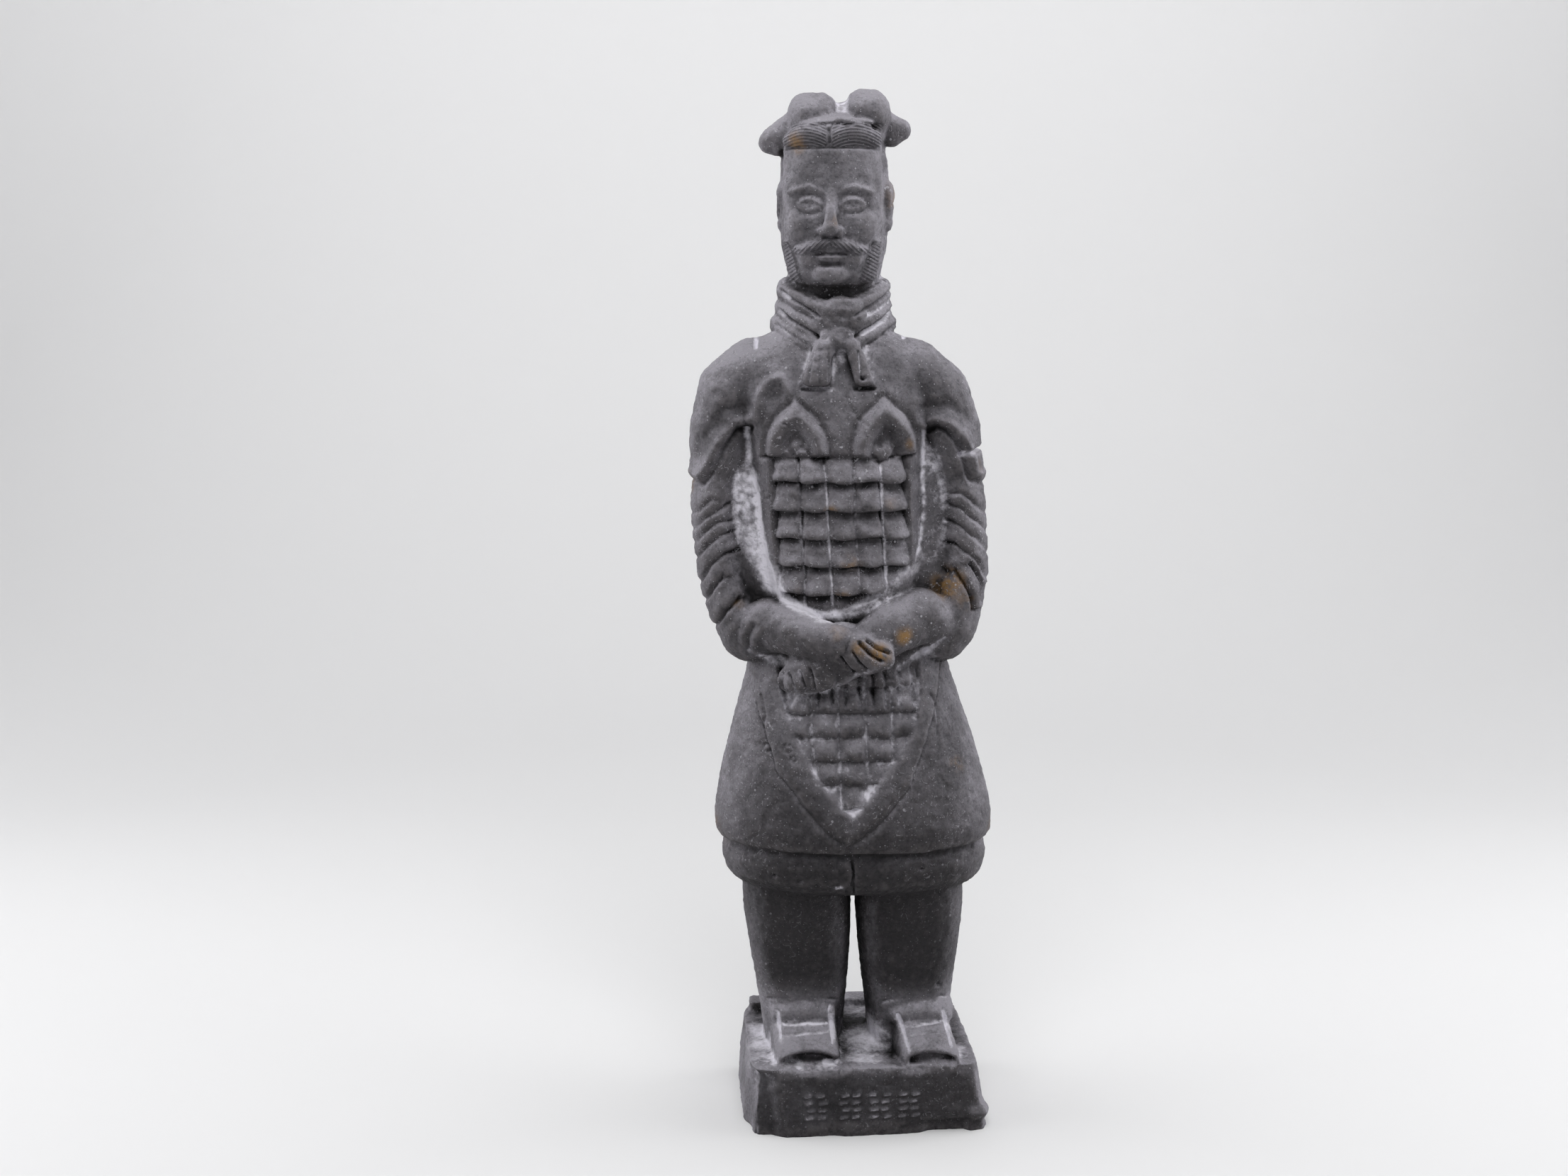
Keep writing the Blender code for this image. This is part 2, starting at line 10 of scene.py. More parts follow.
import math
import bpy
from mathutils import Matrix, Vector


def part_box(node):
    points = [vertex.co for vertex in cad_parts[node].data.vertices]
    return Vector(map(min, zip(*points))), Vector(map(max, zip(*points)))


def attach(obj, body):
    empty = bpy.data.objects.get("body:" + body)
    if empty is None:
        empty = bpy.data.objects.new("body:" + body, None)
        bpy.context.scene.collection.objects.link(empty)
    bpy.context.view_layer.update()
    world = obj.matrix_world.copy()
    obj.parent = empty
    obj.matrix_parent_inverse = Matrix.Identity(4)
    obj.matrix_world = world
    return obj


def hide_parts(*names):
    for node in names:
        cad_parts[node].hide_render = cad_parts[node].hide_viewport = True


bl_info = {
    "name": "Clay General",
    "version": (1, 0, 0),
    "blender": (4, 5, 0),
    "location": "View3D > Sidebar > Clay General",
    "description": "Models and finishes a small pressed clay figure of an armoured general",
    "category": "Add Mesh",
}

import bmesh
import bpy
import numpy as np
from bpy.props import FloatProperty, FloatVectorProperty, IntProperty, PointerProperty
from bpy.types import Operator, Panel, PropertyGroup
from mathutils import Matrix, Vector, noise
from mathutils.bvhtree import BVHTree

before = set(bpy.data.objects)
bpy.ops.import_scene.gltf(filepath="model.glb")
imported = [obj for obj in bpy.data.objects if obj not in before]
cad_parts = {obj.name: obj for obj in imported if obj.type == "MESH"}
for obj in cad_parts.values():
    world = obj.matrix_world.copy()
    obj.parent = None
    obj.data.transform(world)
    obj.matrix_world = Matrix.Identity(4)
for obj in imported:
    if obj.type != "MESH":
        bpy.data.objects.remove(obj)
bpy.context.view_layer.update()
NODE = "warrior_figurine"
FOOT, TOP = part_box(NODE)
TOTAL_HEIGHT = TOP.z - FOOT.z

DESIGN_HEIGHT = 308
DESIGN_PLINTH = 22.5
SUNK = 0.5
DESIGN_TOTAL = DESIGN_HEIGHT + DESIGN_PLINTH - SUNK
HEAD_TURN = math.radians(-4)
PLINTH_TURN = math.radians(4)

# The wear on a point: steps that even out fine and broad relief, and how far and how often it looks for sky.
FINE_STEPS, BROAD_STEPS = 3, 22
SKY_REACH, SKY_RAYS = 22, 14

# How the figure sways sideways on its way up: height and shift.
SWAY = [(-22, 0.3), (0, 0.3), (85, 1.2), (125, 0.8), (180, -0.9), (222, -1.5), (250, -0.2), (285, 0.8)]

# Rows of a standing form: height, half width, depth to the front, depth to the back.
SKIRT = [
    (71, 43.4, 28.4, 27.2), (73.5, 45.0, 29.6, 28.2), (78, 45.2, 29.8, 28.4),
    (84, 44.5, 29.2, 27.8), (94, 42.2, 27.8, 26.4), (106, 38.9, 25.8, 24.4),
    (117, 35.4, 23.6, 22.6), (125, 33.0, 22.0, 21.2), (135, 31.0, 21.0, 20.2),
    (146, 28.0, 20.0, 19.0),
]
UNDER_SKIRT = [
    (54.5, 35.6, 18.0, 19.0), (57, 39.6, 22.8, 23.0), (60, 42.2, 25.4, 25.4),
    (65, 43.4, 26.2, 26.0), (70, 42.6, 25.6, 25.4), (75, 40.0, 23.8, 23.6),
]
VEST = [
    (135, 23.4, 19.0, 19.0), (150, 24.6, 21.8, 20.4), (170, 25.8, 23.6, 21.6),
    (190, 27.0, 24.2, 22.2), (203, 29.2, 23.2, 22.0), (213, 33.0, 21.2, 20.8),
    (221, 32.4, 19.0, 18.8), (227, 29.4, 16.8, 17.0), (231, 24.5, 14.6, 15.0),
    (234, 18.0, 13.0, 13.4), (251, 12.0, 11.0, 11.5),
]
WEB = [
    (138, 33.0, 13.0, 9.0), (155, 38.0, 13.4, 9.0), (190, 40.0, 13.2, 9.0), (206, 38.0, 13.0, 9.0),
]
FACE = [
    (247.6, 8.0, 11.0, 6.0), (248.6, 11.6, 14.6, 9.0), (251.5, 13.9, 16.8, 13.0),
    (258, 15.2, 18.0, 16.0), (267, 16.1, 18.5, 18.0), (278, 16.2, 18.4, 18.8),
    (286, 15.6, 17.8, 18.4), (292, 14.8, 16.8, 17.2), (297, 12.5, 13.6, 14.0),
    (300, 8.0, 8.6, 9.0),
]
BACK_HAIR = [
    (243, 9.0, 0.0, 13.5), (248, 13.6, 0.0, 16.0), (260, 16.4, 0.0, 19.0),
    (274, 17.0, 0.6, 20.6), (284, 16.6, 1.6, 20.6), (293, 15.4, 3.0, 18.6),
    (300, 11.0, 3.0, 13.0),
]
SHOE = [
    (-25.9, 0.86, 3.2), (-25.2, 0.95, 4.8), (-23.2, 1, 7.2), (-19, 1.02, 9.9), (-15, 1.04, 12.1),
    (-10, 1.07, 14.9), (0, 1.1, 16.4), (14, 1.1, 13.5),
]

# The same for a leg, with how far each row lies inward.
LEG = [
    (-3, 12.9, 13.0, 15.0, 1.5), (8, 13.6, 13.6, 15.4, 1.4), (18, 14.8, 15.0, 16.0, 1.2),
    (32, 16.5, 16.6, 17.0, 0.8), (46, 17.6, 17.8, 18.0, 0.4), (62, 17.9, 18.6, 18.6, 0.1),
]

# Stations of a limb: x, y, height and three radii.
CAPE = [
    (15, -1, 225.5, 7, 11, 8), (25, -2, 222, 10, 13, 9.8), (31.6, -2, 214, 11.4, 14, 12),
    (35.2, -1.6, 203, 10.8, 14.4, 11), (37.2, -1, 193, 9.7, 14, 9.4),
]
SLEEVE = [
    (38.0, -1, 189, 8.7, 13, 8), (39.0, -1.5, 178, 8.1, 12.8, 8), (39.0, -2, 168, 8.2, 12.8, 8),
    (38.2, -2.6, 158, 8.4, 12.8, 8), (36.2, -4, 149.5, 8.6, 12.8, 8.2), (32.8, -6, 142, 9.2, 12.4, 9.2),
    (29.8, -7.5, 138.4, 9, 11.4, 8.6),
]
UNDER_FOREARM = [
    (31, -8, 141, 9.5, 10, 9.5), (24, -16, 146, 8, 8, 8.8), (15, -21.5, 143.5, 7.5, 7, 8.4),
    (6, -24.5, 138, 7, 6, 7.4), (-3, -25.5, 132.8, 6, 5, 7), (-10, -24.8, 129.6, 5.6, 4, 6.4),
    (-15.4, -23.6, 127.8, 5, 3.2, 5.6), (-19, -22.2, 126.6, 3.4, 2.6, 4.4),
]
OVER_FOREARM = [
    (-31, -8, 139, 9.5, 10, 9.5), (-24, -16, 143, 8, 8, 8.6), (-16, -22, 141.8, 7, 7, 7.6),
    (-9, -26, 140, 6.5, 5.8, 6.6), (-2, -28.6, 138.4, 6, 4.8, 6.6), (5, -30, 136, 5.8, 3.8, 6.2),
    (10.2, -29.4, 135.6, 4, 3, 4.6),
]

# The armour of small plates on the chest, and the pointed front of the armour over the skirt.
PLATES_LEFT, PLATES_RIGHT = -20.9, 21.7
PLATES_EDGE = [(-23.5, 195.8), (-12.3, 196.7), (-2.5, 196.7), (6.1, 196.5), (14.7, 195.2), (25.5, 197.2)]
PLATE_COLUMNS = 5
PLATE_ROW = 8.8
PLATES_TOP = 196.4
PLATES_FOOT = [
    (-23, 157), (-19.4, 152.4), (-14, 149.4), (-8, 147.4), (-3, 147.4), (2.4, 148.8), (9.6, 152.2), (16.6, 157.6),
    (22, 162)]
ARCHES = [(-12.4, 196.6, 7.2, 10.6), (15.0, 196.6, 7.5, 11.2)]
STRAP = [
    (-25.2, 205), (-24.6, 209.2), (-23.2, 215), (-20, 219.4), (-16.8, 220.4), (-14, 217), (-11.4, 211.4)]
APRON_EDGE = [
    (-30.4, 131), (-29.1, 115.4), (-24, 98.6), (-13.1, 84.5), (-3.3, 74.8), (6.8, 82),
    (17.6, 94.2), (26, 114.6), (29.6, 133)]
APRON_PLATES = [
    (-22.4, 131), (-21.6, 120), (-18.3, 108.5), (-12.6, 97.3), (-5.6, 87.2), (-0.8, 83.8), (4, 88.4),
    (10.8, 97.8), (15.4, 102.4), (20.6, 112.4), (22.4, 131)]
APRON_ROW, APRON_COLUMN, APRON_SLOT = 7.5, 8.5, 4.3
APRON_FOOT = 93.6

# The shoulder guards' lower rims and the sleeves' folds: depth, then x and height along each.
GUARDS = [
    [(-25.5, 205.8), (-30.5, 204.9), (-35.3, 198.9), (-39.5, 191.1), (-43, 187.6), (-48, 189)],
    [(27.6, 204), (31.2, 206.2), (34.6, 204.6), (37.8, 200.6), (40.4, 194), (42, 189), (47.5, 187.4)],
]
FOLDS = [
    (0.7, [(-47, 177.0), (-44.4, 178.4), (-41.7, 180.8), (-40, 182.5)]),
    (0.9, [(-48, 171.0), (-43.1, 175.8), (-37.5, 179.1), (-34, 180.9)]),
    (0.9, [(-48, 166.4), (-42.9, 171.9), (-37.8, 175.2), (-33.1, 175.9)]),
    (1.0, [(-48, 161.2), (-42.6, 167.6), (-38.1, 170.6), (-32.8, 172.1)]),
    (1.3, [(-47, 153.4), (-45.5, 155.9), (-41.9, 161.8), (-36.9, 165.2), (-30.7, 166.4)]),
    (1.5, [(-46, 147.4), (-44.5, 149.8), (-41.4, 154.8), (-37.9, 158.2)]),
    (1.7, [(-43.4, 139.2), (-41.4, 142.3), (-38.1, 147.4), (-33.1, 151.4)]),
    (0.8, [(33.2, 184), (38.2, 183.9), (41.9, 182.1), (47, 177)]),
    (0.9, [(33.5, 180.9), (38, 179.6), (42.3, 176.8), (48, 169.8)]),
    (1.0, [(32.9, 175.9), (37.7, 173.8), (43.1, 170.2), (48, 162.6)]),
    (1.1, [(30.8, 168.6), (34.9, 168.2), (40, 165.7), (44.4, 160.7), (47, 154)]),
    (1.7, [(40.4, 162.5), (43.1, 158.9), (44.1, 154.3), (43.6, 149)]),
    (2.0, [(35.1, 160.2), (38, 156), (40.4, 151.1), (40.8, 147.4)]),
]

# Damage and marks on the front: polylines of x and height, with their depth and half width.
SCRATCHES = [
    ([(3.4, 215), (4.5, 212), (6.6, 208.5), (9.4, 205.6)], 0.35, 0.5),
    ([(-30.6, 229.6), (-33.4, 227.2), (-35.6, 224.6), (-38.6, 222.0)], 0.9, 0.7),
    ([(-1.4, 68), (-0.6, 64), (-1.9, 60.5), (-0.8, 56.5)], 0.9, 0.7),
    ([(-27.4, 120), (-26.6, 114), (-28.2, 110)], 0.5, 0.6),
    ([(24.6, 121), (27.4, 116), (27.0, 108)], 0.35, 0.5),
    ([(-1.6, 148), (0.6, 142), (-1.2, 137)], 0.4, 0.5),
]
RING_MARKS = [(-26.9, 104.3, 1.2), (-20.1, 104.6, 1.3), (-22.6, 184.2, 1.3), (-18.6, 101.5, 0.9), (-5.7, 59.4, 0.9)]
PITS = [(-26.1, 62.5, 1.2), (-17.8, 61.2, 1.5), (-12.6, 60.2, 0.8), (20.8, 65.3, 1.0), (26.8, 22.4, 1.7),
        (-3.2, 57.6, 0.8), (-21.5, 66.0, 0.6), (13.5, 118, 0.8), (-15.5, 206.5, 0.7), (8.2, 220.4, 0.8),
        (-37.5, 158.9, 0.6), (20.2, 124.5, 0.9)]

# Brown rubs where hands have polished the clay: x, y, height, reach and strength.
RUBS = [
    (31.6, -14, 154.6, 5.0, 1.2), (35.0, -12.5, 157, 4.6, 1.2), (36.4, -12, 150.4, 4.6, 1.1),
    (17.8, -28, 141.4, 3.2, 1.2), (3.4, -32, 138.6, 3.0, 1.0), (9.6, -32, 137, 3.8, 1.2),
    (-3, -30, 142.5, 3.5, 0.4), (-11.5, -15, 291, 3.6, 1.0), (-3.0, -25, 179.6, 2.2, 1.0),
    (3.0, -25, 163.0, 4, 0.6), (-1, -24, 152.6, 3, 0.6), (-46, -4, 187, 4, 0.8), (42.5, -8, 191.6, 3.4, 1.0),
    (-33.6, -14, 148.6, 2.4, 0.7), (-35, -12, 143, 2.4, 0.5), (22.6, -22, 200, 2.2, 0.8), (0, -24, 268, 2.4, 0.5),
    (33, -18, 98, 3, 0.45), (-44, -6, 74, 6, 0.4), (44, -6, 74, 5, 0.4), (17, 0, 275, 5, 0.7),
    (16, -24, 183, 3, 0.45), (-14, -24, 156, 3, 0.4), (-46, 2, 162, 5, 0.35), (30, -22, 120, 3, 0.35),
]

# Pale dust that no one wipes away: reach, strength, then x and height along it on the front.
STREAKS = [
    (1.4, 0.7, [(-27.6, 205), (-27.2, 196), (-28.4, 188)]),
    (4.2, 1.35, [(-28.6, 188), (-29.0, 177), (-28.4, 170)]), (3.8, 1.7, [(-28.2, 170), (-25.0, 161), (-22.2, 156)]),
    (1.5, 1.5, [(-25.8, 183), (-25.2, 170), (-22.8, 160), (-19.6, 154)]),
    (1.5, 1.2, [(-22.6, 156), (-19.4, 151.8), (-14, 148.8), (-8, 146.6), (-2, 147)]),
    (0.9, 0.95, [(27.2, 204), (26.6, 190), (27.0, 179), (25.2, 170), (22.8, 163.4)]),
    (5.0, 0.55, [(30, 196), (30.4, 184), (29.6, 173), (27, 165)]),
    (2.4, 0.8, [(21.6, 161), (16.6, 157), (9.6, 151.6), (2.4, 148.2), (-3, 147)]),
    (2.4, 0.65, [(-32, 134.4), (-23.3, 131.9), (-16, 130.4)]),
    (1.4, 0.75, [(15.9, 130), (23.2, 133.9), (30.8, 138.9)]),
    (0.9, 0.9, [(-14, 122.2), (-8, 123), (2, 129.2), (11, 134)]),
    (3.2, 0.55, [(-23.4, 122), (-19.3, 108.5), (-13.1, 97.1), (-7.0, 88.4), (-0.8, 83.2)]),
    (2.4, 0.45, [(-0.8, 84.2), (3.8, 88.8), (11.6, 98.6), (19.6, 109.8), (22, 124)]),
    (2.2, 0.85, [(-6, 92), (-0.8, 84.4), (4.4, 92)]),
    (0.9, 1.0, [(-17.4, 246.8), (-13.9, 244.2)]), (1.2, 0.75, [(17.4, 244.8), (14.4, 241.4), (9.4, 239.2)]),
    (0.9, 0.95, [(-17.9, 241.2), (-15.3, 238.6)]), (1.2, 0.95, [(17.9, 240.2), (15.3, 237), (8.8, 233.6)]),
    (1.4, 0.5, [(-18.2, 236.4), (-13.8, 233.2), (-8.4, 230.0)]),
    (1.2, 0.5, [(-7.6, 229), (-10.8, 219.4)]), (0.9, 0.6, [(-0.2, 228.6), (-0.1, 219)]),
    (2.4, 0.5, [(1.6, 231), (2.4, 226)]), (0.5, 0.95, [(7.6, 228.4), (7.8, 222)]),
    (1.4, 0.5, [(9.6, 229), (12.8, 223), (12.8, 219)]), (1.4, 0.45, [(-10.4, 218), (-0.4, 217)]),
    (0.9, 1.5, [(-24.1, 229.2), (-24.1, 234)]), (0.9, 1.5, [(22.0, 232), (22.0, 236)]),
    (1.1, 1.1, [(38.2, 196.6), (47, 197.8)]),
    (1.6, 0.4, [(-24.9, 207), (-23.6, 214.6), (-20.1, 219.6), (-16.6, 221.2)]),
    *((0.6, strength, [(x, 194), (x, 150)]) for x, strength in (
        (-12.4, 0.45), (-4.0, 0.65), (4.7, 0.4), (13.2, 0.8))),
    *((1.5, strength, [(x, high), (x, low)]) for x, high, low, strength in (
        (-12.1, 122, 98, 0.42), (-4.2, 126, 88, 0.45), (4.4, 128, 90, 0.45), (12.8, 130, 101, 0.42))),
    *((reach, strength, [(left, h), (right, h)]) for reach, strength, left, right, h in (
        (1.4, 0.5, -18, 19, 113.4), (1.3, 0.45, -15, 15.6, 106),
        (1.3, 0.45, -11, 10, 98.6), (1.3, 0.45, -7, 5, 91.2))),
    (1.4, 1.1, [(-26.2, 13.6), (-25.5, 7)]), (1.4, 1.05, [(-9.0, 14.6), (-8.3, 6.4)]),
    (1.4, 1.1, [(13.1, 12.6), (16.2, 4.8)]), (1.3, 1.15, [(28.2, 14), (30.0, 6)]),
    (0.6, 1.0, [(-24.4, 10.2), (-17, 10.8), (-10.1, 10.6)]), (0.6, 1.05, [(-24.8, 8.0), (-17.1, 8.7), (-9.5, 8.9)]),
    (0.6, 1.05, [(15.3, 9.8), (21.5, 10.7), (27.4, 11.1)]), (0.6, 1.0, [(15.8, 8), (21.6, 8.8), (27.6, 9.2)]),
    (0.8, 1.1, [(-11.6, 0.2), (-7.4, 0.4)]), (0.8, 1.1, [(-6.4, 59.1), (-4.6, 59.4)]),
    (1.0, 0.5, [(-27, -0.6), (-16, -0.4), (-6, 0)]), (0.9, 0.7, [(26, 19), (29, 21), (28, 23)]),
    (1.6, 0.5, [(-17.6, 247), (-12, 250)]), (1.8, 0.5, [(12, 247.4), (16, 250)]),
    (3.0, 0.3, [(-17, -9), (-17, -17), (-12, -17)]),
]
# The same on level or deep places: x, y, height, reach and strength.
DUST = [
    (3.0, -3, 302, 5.5, 1.3), (-31, -20, 0, 12, 0.8), (-34, 0, 0, 12, 0.85), (-33, -10, 0, 9, 0.95),
    # The patch at (0, 23, 1.5) is painted light as well as dust: it lightens the ledge's front face seen between the
    # legs, which the lamps leave dark.
    (1.5, -20, 1.2, 9, 0.95), (3, -8, 2.6, 11, 0.9), (3, 12, 3, 10, 0.6), (34, -14, 0, 8, 0.7), (0, 23, 1.5, 10, 0.7),
    (-17, 0, 250.5, 7, 0.6), (16.5, -2, 250.5, 7, 0.7), (-24, -6, 232, 9, 0.4), (24, -6, 233, 9, 0.4),
    (-17, -22, 120, 9, 0.6), (18, -22, 122, 10, 0.6), (1, -24, 121, 11, 0.32), (-26, -20, 129, 7, 0.4),
    (26, -18, 131, 7, 0.4), (-12, -23, 108, 9, 0.42), (9, -23, 103, 9, 0.34), (-1, -22, 233, 8, 0.3),
    (-18, -12, 13, 13, 0.5), (20, -12, 13, 13, 0.45), (-28, -16, 4, 8, 0.6), (-4.6, -19, 8, 5, 0.5),
    (33, -16, 6, 6, 0.5), (20, -16, 166, 8, 0.4), (-22, -16, 158, 7, 0.5), (14, -20, 150, 7, 0.4),
    (-34, -10, 196, 8, 0.3), (34, -10, 200, 8, 0.3),
]


def length(name, description, default, least=0.0):
    return FloatProperty(name=name, description=description, default=default, min=least, unit="LENGTH")


def colour(name, description, default):
    return FloatVectorProperty(name=name, description=description, subtype="COLOR", default=default)


def power(name, description, default):
    return FloatProperty(name=name, description=description, default=default, min=0, unit="POWER")


class FigureSizes(PropertyGroup):
    """The sizes that someone who remakes the figure would change."""

    figure_height: length(
        "Figure height", "Height from the soles to the top of the cap",
        TOTAL_HEIGHT * DESIGN_HEIGHT / DESIGN_TOTAL, 0.05)
    plinth_height: length(
        "Plinth height", "Height of the block under the shoes", TOTAL_HEIGHT * DESIGN_PLINTH / DESIGN_TOTAL, 0.002)
    plinth_width: length("Plinth width", "Width of the block's top", 0.0735, 0.02)
    plinth_depth: length("Plinth depth", "Depth of the block's top", 0.055, 0.02)
    plinth_flare: length("Plinth flare", "How far the block widens at its foot", 0.0028)
    ledge_rise: length("Ledge rise", "Height of the ledge behind the heels", 0.0038)
    ledge_depth: length("Ledge depth", "Depth of the ledge behind the heels", 0.0075)
    lean: FloatProperty(
        name="Lean", description="How far the casting leans to its right, as a share of its height", default=0.033)
    grain: FloatProperty(
        name="Grain", description="Voxel of the remesh, as a share of the figure's units", default=0.52, min=0.4)
    smoothing: IntProperty(
        name="Smoothing", description="Steps that soften the fused forms", default=9, min=0)
    triangles: IntProperty(
        name="Triangles", description="Triangles of the finished piece", default=192000, min=2000)


class ClayFinish(PropertyGroup):
    """The colours of the fired clay and of what lies on it."""

    clay: colour("Clay", "Fired clay where it is clean", (0.0145, 0.0138, 0.0152))
    clay_pale: colour("Pale clay", "Clay where it is rubbed smooth", (0.056, 0.051, 0.053))
    # This colour is dust that settles on faces that look up, and also painted light on faces that look sideways, on
    # the upper body and on the head, and a painted highlight on the hair's strands.
    dust_film_and_painted_light: colour("Film", "Thin film of dust on faces that look up", (0.272, 0.261, 0.290))
    dust: colour("Dust", "Dust packed in the hollows", (0.74, 0.72, 0.79))
    rub: colour("Rub", "Brown clay under the polish", (0.25, 0.145, 0.055))
    litter: colour("Litter", "Specks of grit and short threads", (0.50, 0.49, 0.53))
    roughness: FloatProperty(
        name="Roughness", description="Roughness of clean clay", default=0.72, min=0, max=1, subtype="FACTOR")


class StageSettings(PropertyGroup):
    """The light tent."""

    floor_pale: colour("Sheet", "Colour of the tent's sheet", (0.80, 0.80, 0.805))
    wall_distance: length("Wall distance", "From the figure back to the wall", 0.95, 0.6)
    top: power("Top light", "Light over the front", 1.76)
    rear: power("Rear light", "Light over the back", 1.36)
    sides: power("Side panels", "Each bright side of the tent", 1.64)
    wall: power("Wall light", "Light on the wall behind", 1.24)


class Casting:
    """Closed forms, each shaped in a small bmesh of its own and then gathered into one mesh."""

    def __init__(self, sizes):
        self.unit = sizes.figure_height / DESIGN_HEIGHT
        self.soles = sizes.plinth_height
        self.whole = bmesh.new()
        self.sheet = bpy.data.meshes.new("form")
        self.to_place = Matrix.Translation((0, 0, self.soles)) @ Matrix.Scale(self.unit, 4)

    def gather(self, bm, in_units=True):
        """Add a form to the casting and let go of it."""
        if in_units:
            bmesh.ops.transform(bm, matrix=self.to_place, verts=bm.verts)
        bm.to_mesh(self.sheet)
        bm.free()
        self.whole.from_mesh(self.sheet)

    def ball(self, *balls):
        """Ellipsoids, each given by its centre and its three radii."""
        bm = bmesh.new()
        for centre, radii in balls:
            where = Matrix.Translation(Vector(centre)) @ Matrix.Diagonal((*radii, 1))
            bmesh.ops.create_icosphere(bm, subdivisions=3, radius=1, matrix=where)
        self.gather(bm)

    def limb(self, stations, spacing=1.3):
        """A soft form laid along its stations."""
        balls = []
        for start, end in zip(stations, stations[1:]):
            start, end = np.array(start, float), np.array(end, float)
            steps = max(2, math.ceil(np.linalg.norm((end - start)[:3]) / spacing))
            for step in range(steps):
                station = start + (end - start) * step / steps
                balls.append((station[:3], station[3:]))
        balls.append((stations[-1][:3], stations[-1][3:]))
        self.ball(*balls)

    def loft(self, rings, in_units=True):
        """A closed form through rings of as many points each, extruded from one to the next."""
        bm = bmesh.new()
        loop = bmesh.ops.create_circle(bm, segments=len(rings[0]), radius=1)["verts"]
        rim = list(bm.edges)
        for vert, point in zip(loop, rings[0]):
            vert.co = point
        for ring in rings[1:]:
            made = bmesh.ops.extrude_edge_only(bm, edges=rim)["geom"]
            fresh = {part for part in made if isinstance(part, bmesh.types.BMVert)}
            rim = [part for part in made if isinstance(part, bmesh.types.BMEdge)
                   and set(part.verts) <= fresh]
            loop = [next(edge.other_vert(vert) for edge in vert.link_edges
                         if edge.other_vert(vert) in fresh) for vert in loop]
            for vert, point in zip(loop, ring):
                vert.co = point
        bmesh.ops.holes_fill(bm, edges=bm.edges, sides=0)
        bmesh.ops.recalc_face_normals(bm, faces=bm.faces)
        self.gather(bm, in_units)

    def standing(self, rows, middle=(0, 0), squareness=2.3, turn=0.0, points=72):
        """A form through level outlines, such as a robe, a leg or a head."""
        rings = []
        for height, *sides in rows:
            x, y = outline(*sides, squareness, points)
            x, y = turned(x + middle[0], y + middle[1], turn)
            rings.append(np.stack([x, y, np.full(points, float(height))], axis=1))
        self.loft(rings)

    def mesh(self):
        mesh = bpy.data.meshes.new("rough")
        self.whole.to_mesh(mesh)
        self.whole.free()
        bpy.data.meshes.remove(self.sheet)
        return mesh


def outline(half_width, front, back, squareness, points):
    """A rounded outline seen from above. Its corners sharpen as the squareness grows."""
    angle = 2 * np.pi * np.arange(points) / points
    x = np.sign(np.cos(angle)) * np.abs(np.cos(angle)) ** (2 / squareness)
    y = np.sign(np.sin(angle)) * np.abs(np.sin(angle)) ** (2 / squareness)
    return x * half_width, np.where(y < 0, y * front, y * back)


def turned(x, y, turn=HEAD_TURN):
    """Where a point goes as the form turns about the upright axis."""
    return x * math.cos(turn) - y * math.sin(turn), x * math.sin(turn) + y * math.cos(turn)


def on_face(stations):
    return [(*turned(x, y), *rest) for x, y, *rest in stations]


def mirrored(stations):
    return [(-x, *rest) for x, *rest in stations]


def add_body(casting):
    """The robe in its layers, the vest, the clay between arm and chest, and both arms."""
    casting.standing(SKIRT)
    casting.standing(UNDER_SKIRT)
    casting.standing(VEST, squareness=2.9)
    casting.standing(WEB, squareness=3.4)
    for stations in (CAPE, SLEEVE):
        casting.limb(stations)
        casting.limb(mirrored(stations))
    casting.limb(UNDER_FOREARM)
    casting.limb(OVER_FOREARM)
    casting.ball(((-12.4, -22.2, 131.4), (7.0, 4.4, 4.6)), ((-1, -24.6, 142), (6, 3.2, 3.6)))


def add_scarf(casting):
    """Folds that sweep down from the nape to a gather at the throat, and its two tails."""
    around = 64
    for back, width, depth, radius, path in (
        (247.2, 15.0, 13.8, 3.5, [(17, 247.2), (13.9, 245.4), (8.5, 242.6), (3.5, 240.6), (0, 240.2)]),
        (241.6, 16.0, 15.0, 3.0, [(17, 241.8), (14.5, 239.8), (9.5, 236.8), (4, 234.2), (0, 233.4)]),
        (236.2, 17.4, 15.6, 2.9, [(18, 236.8), (13.6, 234), (8.5, 231.2), (4, 230), (0, 229.6)]),
    ):
        balls = []
        for step in range(around):
            angle = 2 * math.pi * step / around
            x, y = width * math.cos(angle), depth * math.sin(angle)
            height = back if y > 0 else float(along_line(path[::-1], abs(x)))
            balls.append(((x, y, height), (radius * 0.92, radius * 0.92, radius)))
        casting.ball(*balls)
    casting.ball(((2.0, -14.4, 238.4), (8.2, 3.6, 7.0)), ((1.0, -15.6, 231.6), (6.4, 3.6, 5.0)))
    for stations in (
        [(-2.6, -17.2, 231, 3.6, 2.6, 2), (-4.2, -19.2, 226, 3.8, 2.4, 2), (-5.4, -21.2, 219.6, 4.6, 2.3, 1.6)],
        [(5.2, -17.4, 230.6, 2.6, 2.4, 2), (7.2, -19.2, 226, 3.0, 2.3, 2), (9.2, -21.2, 219.6, 3.2, 2.2, 1.6)],
    ):
        casting.limb(stations, 0.7)


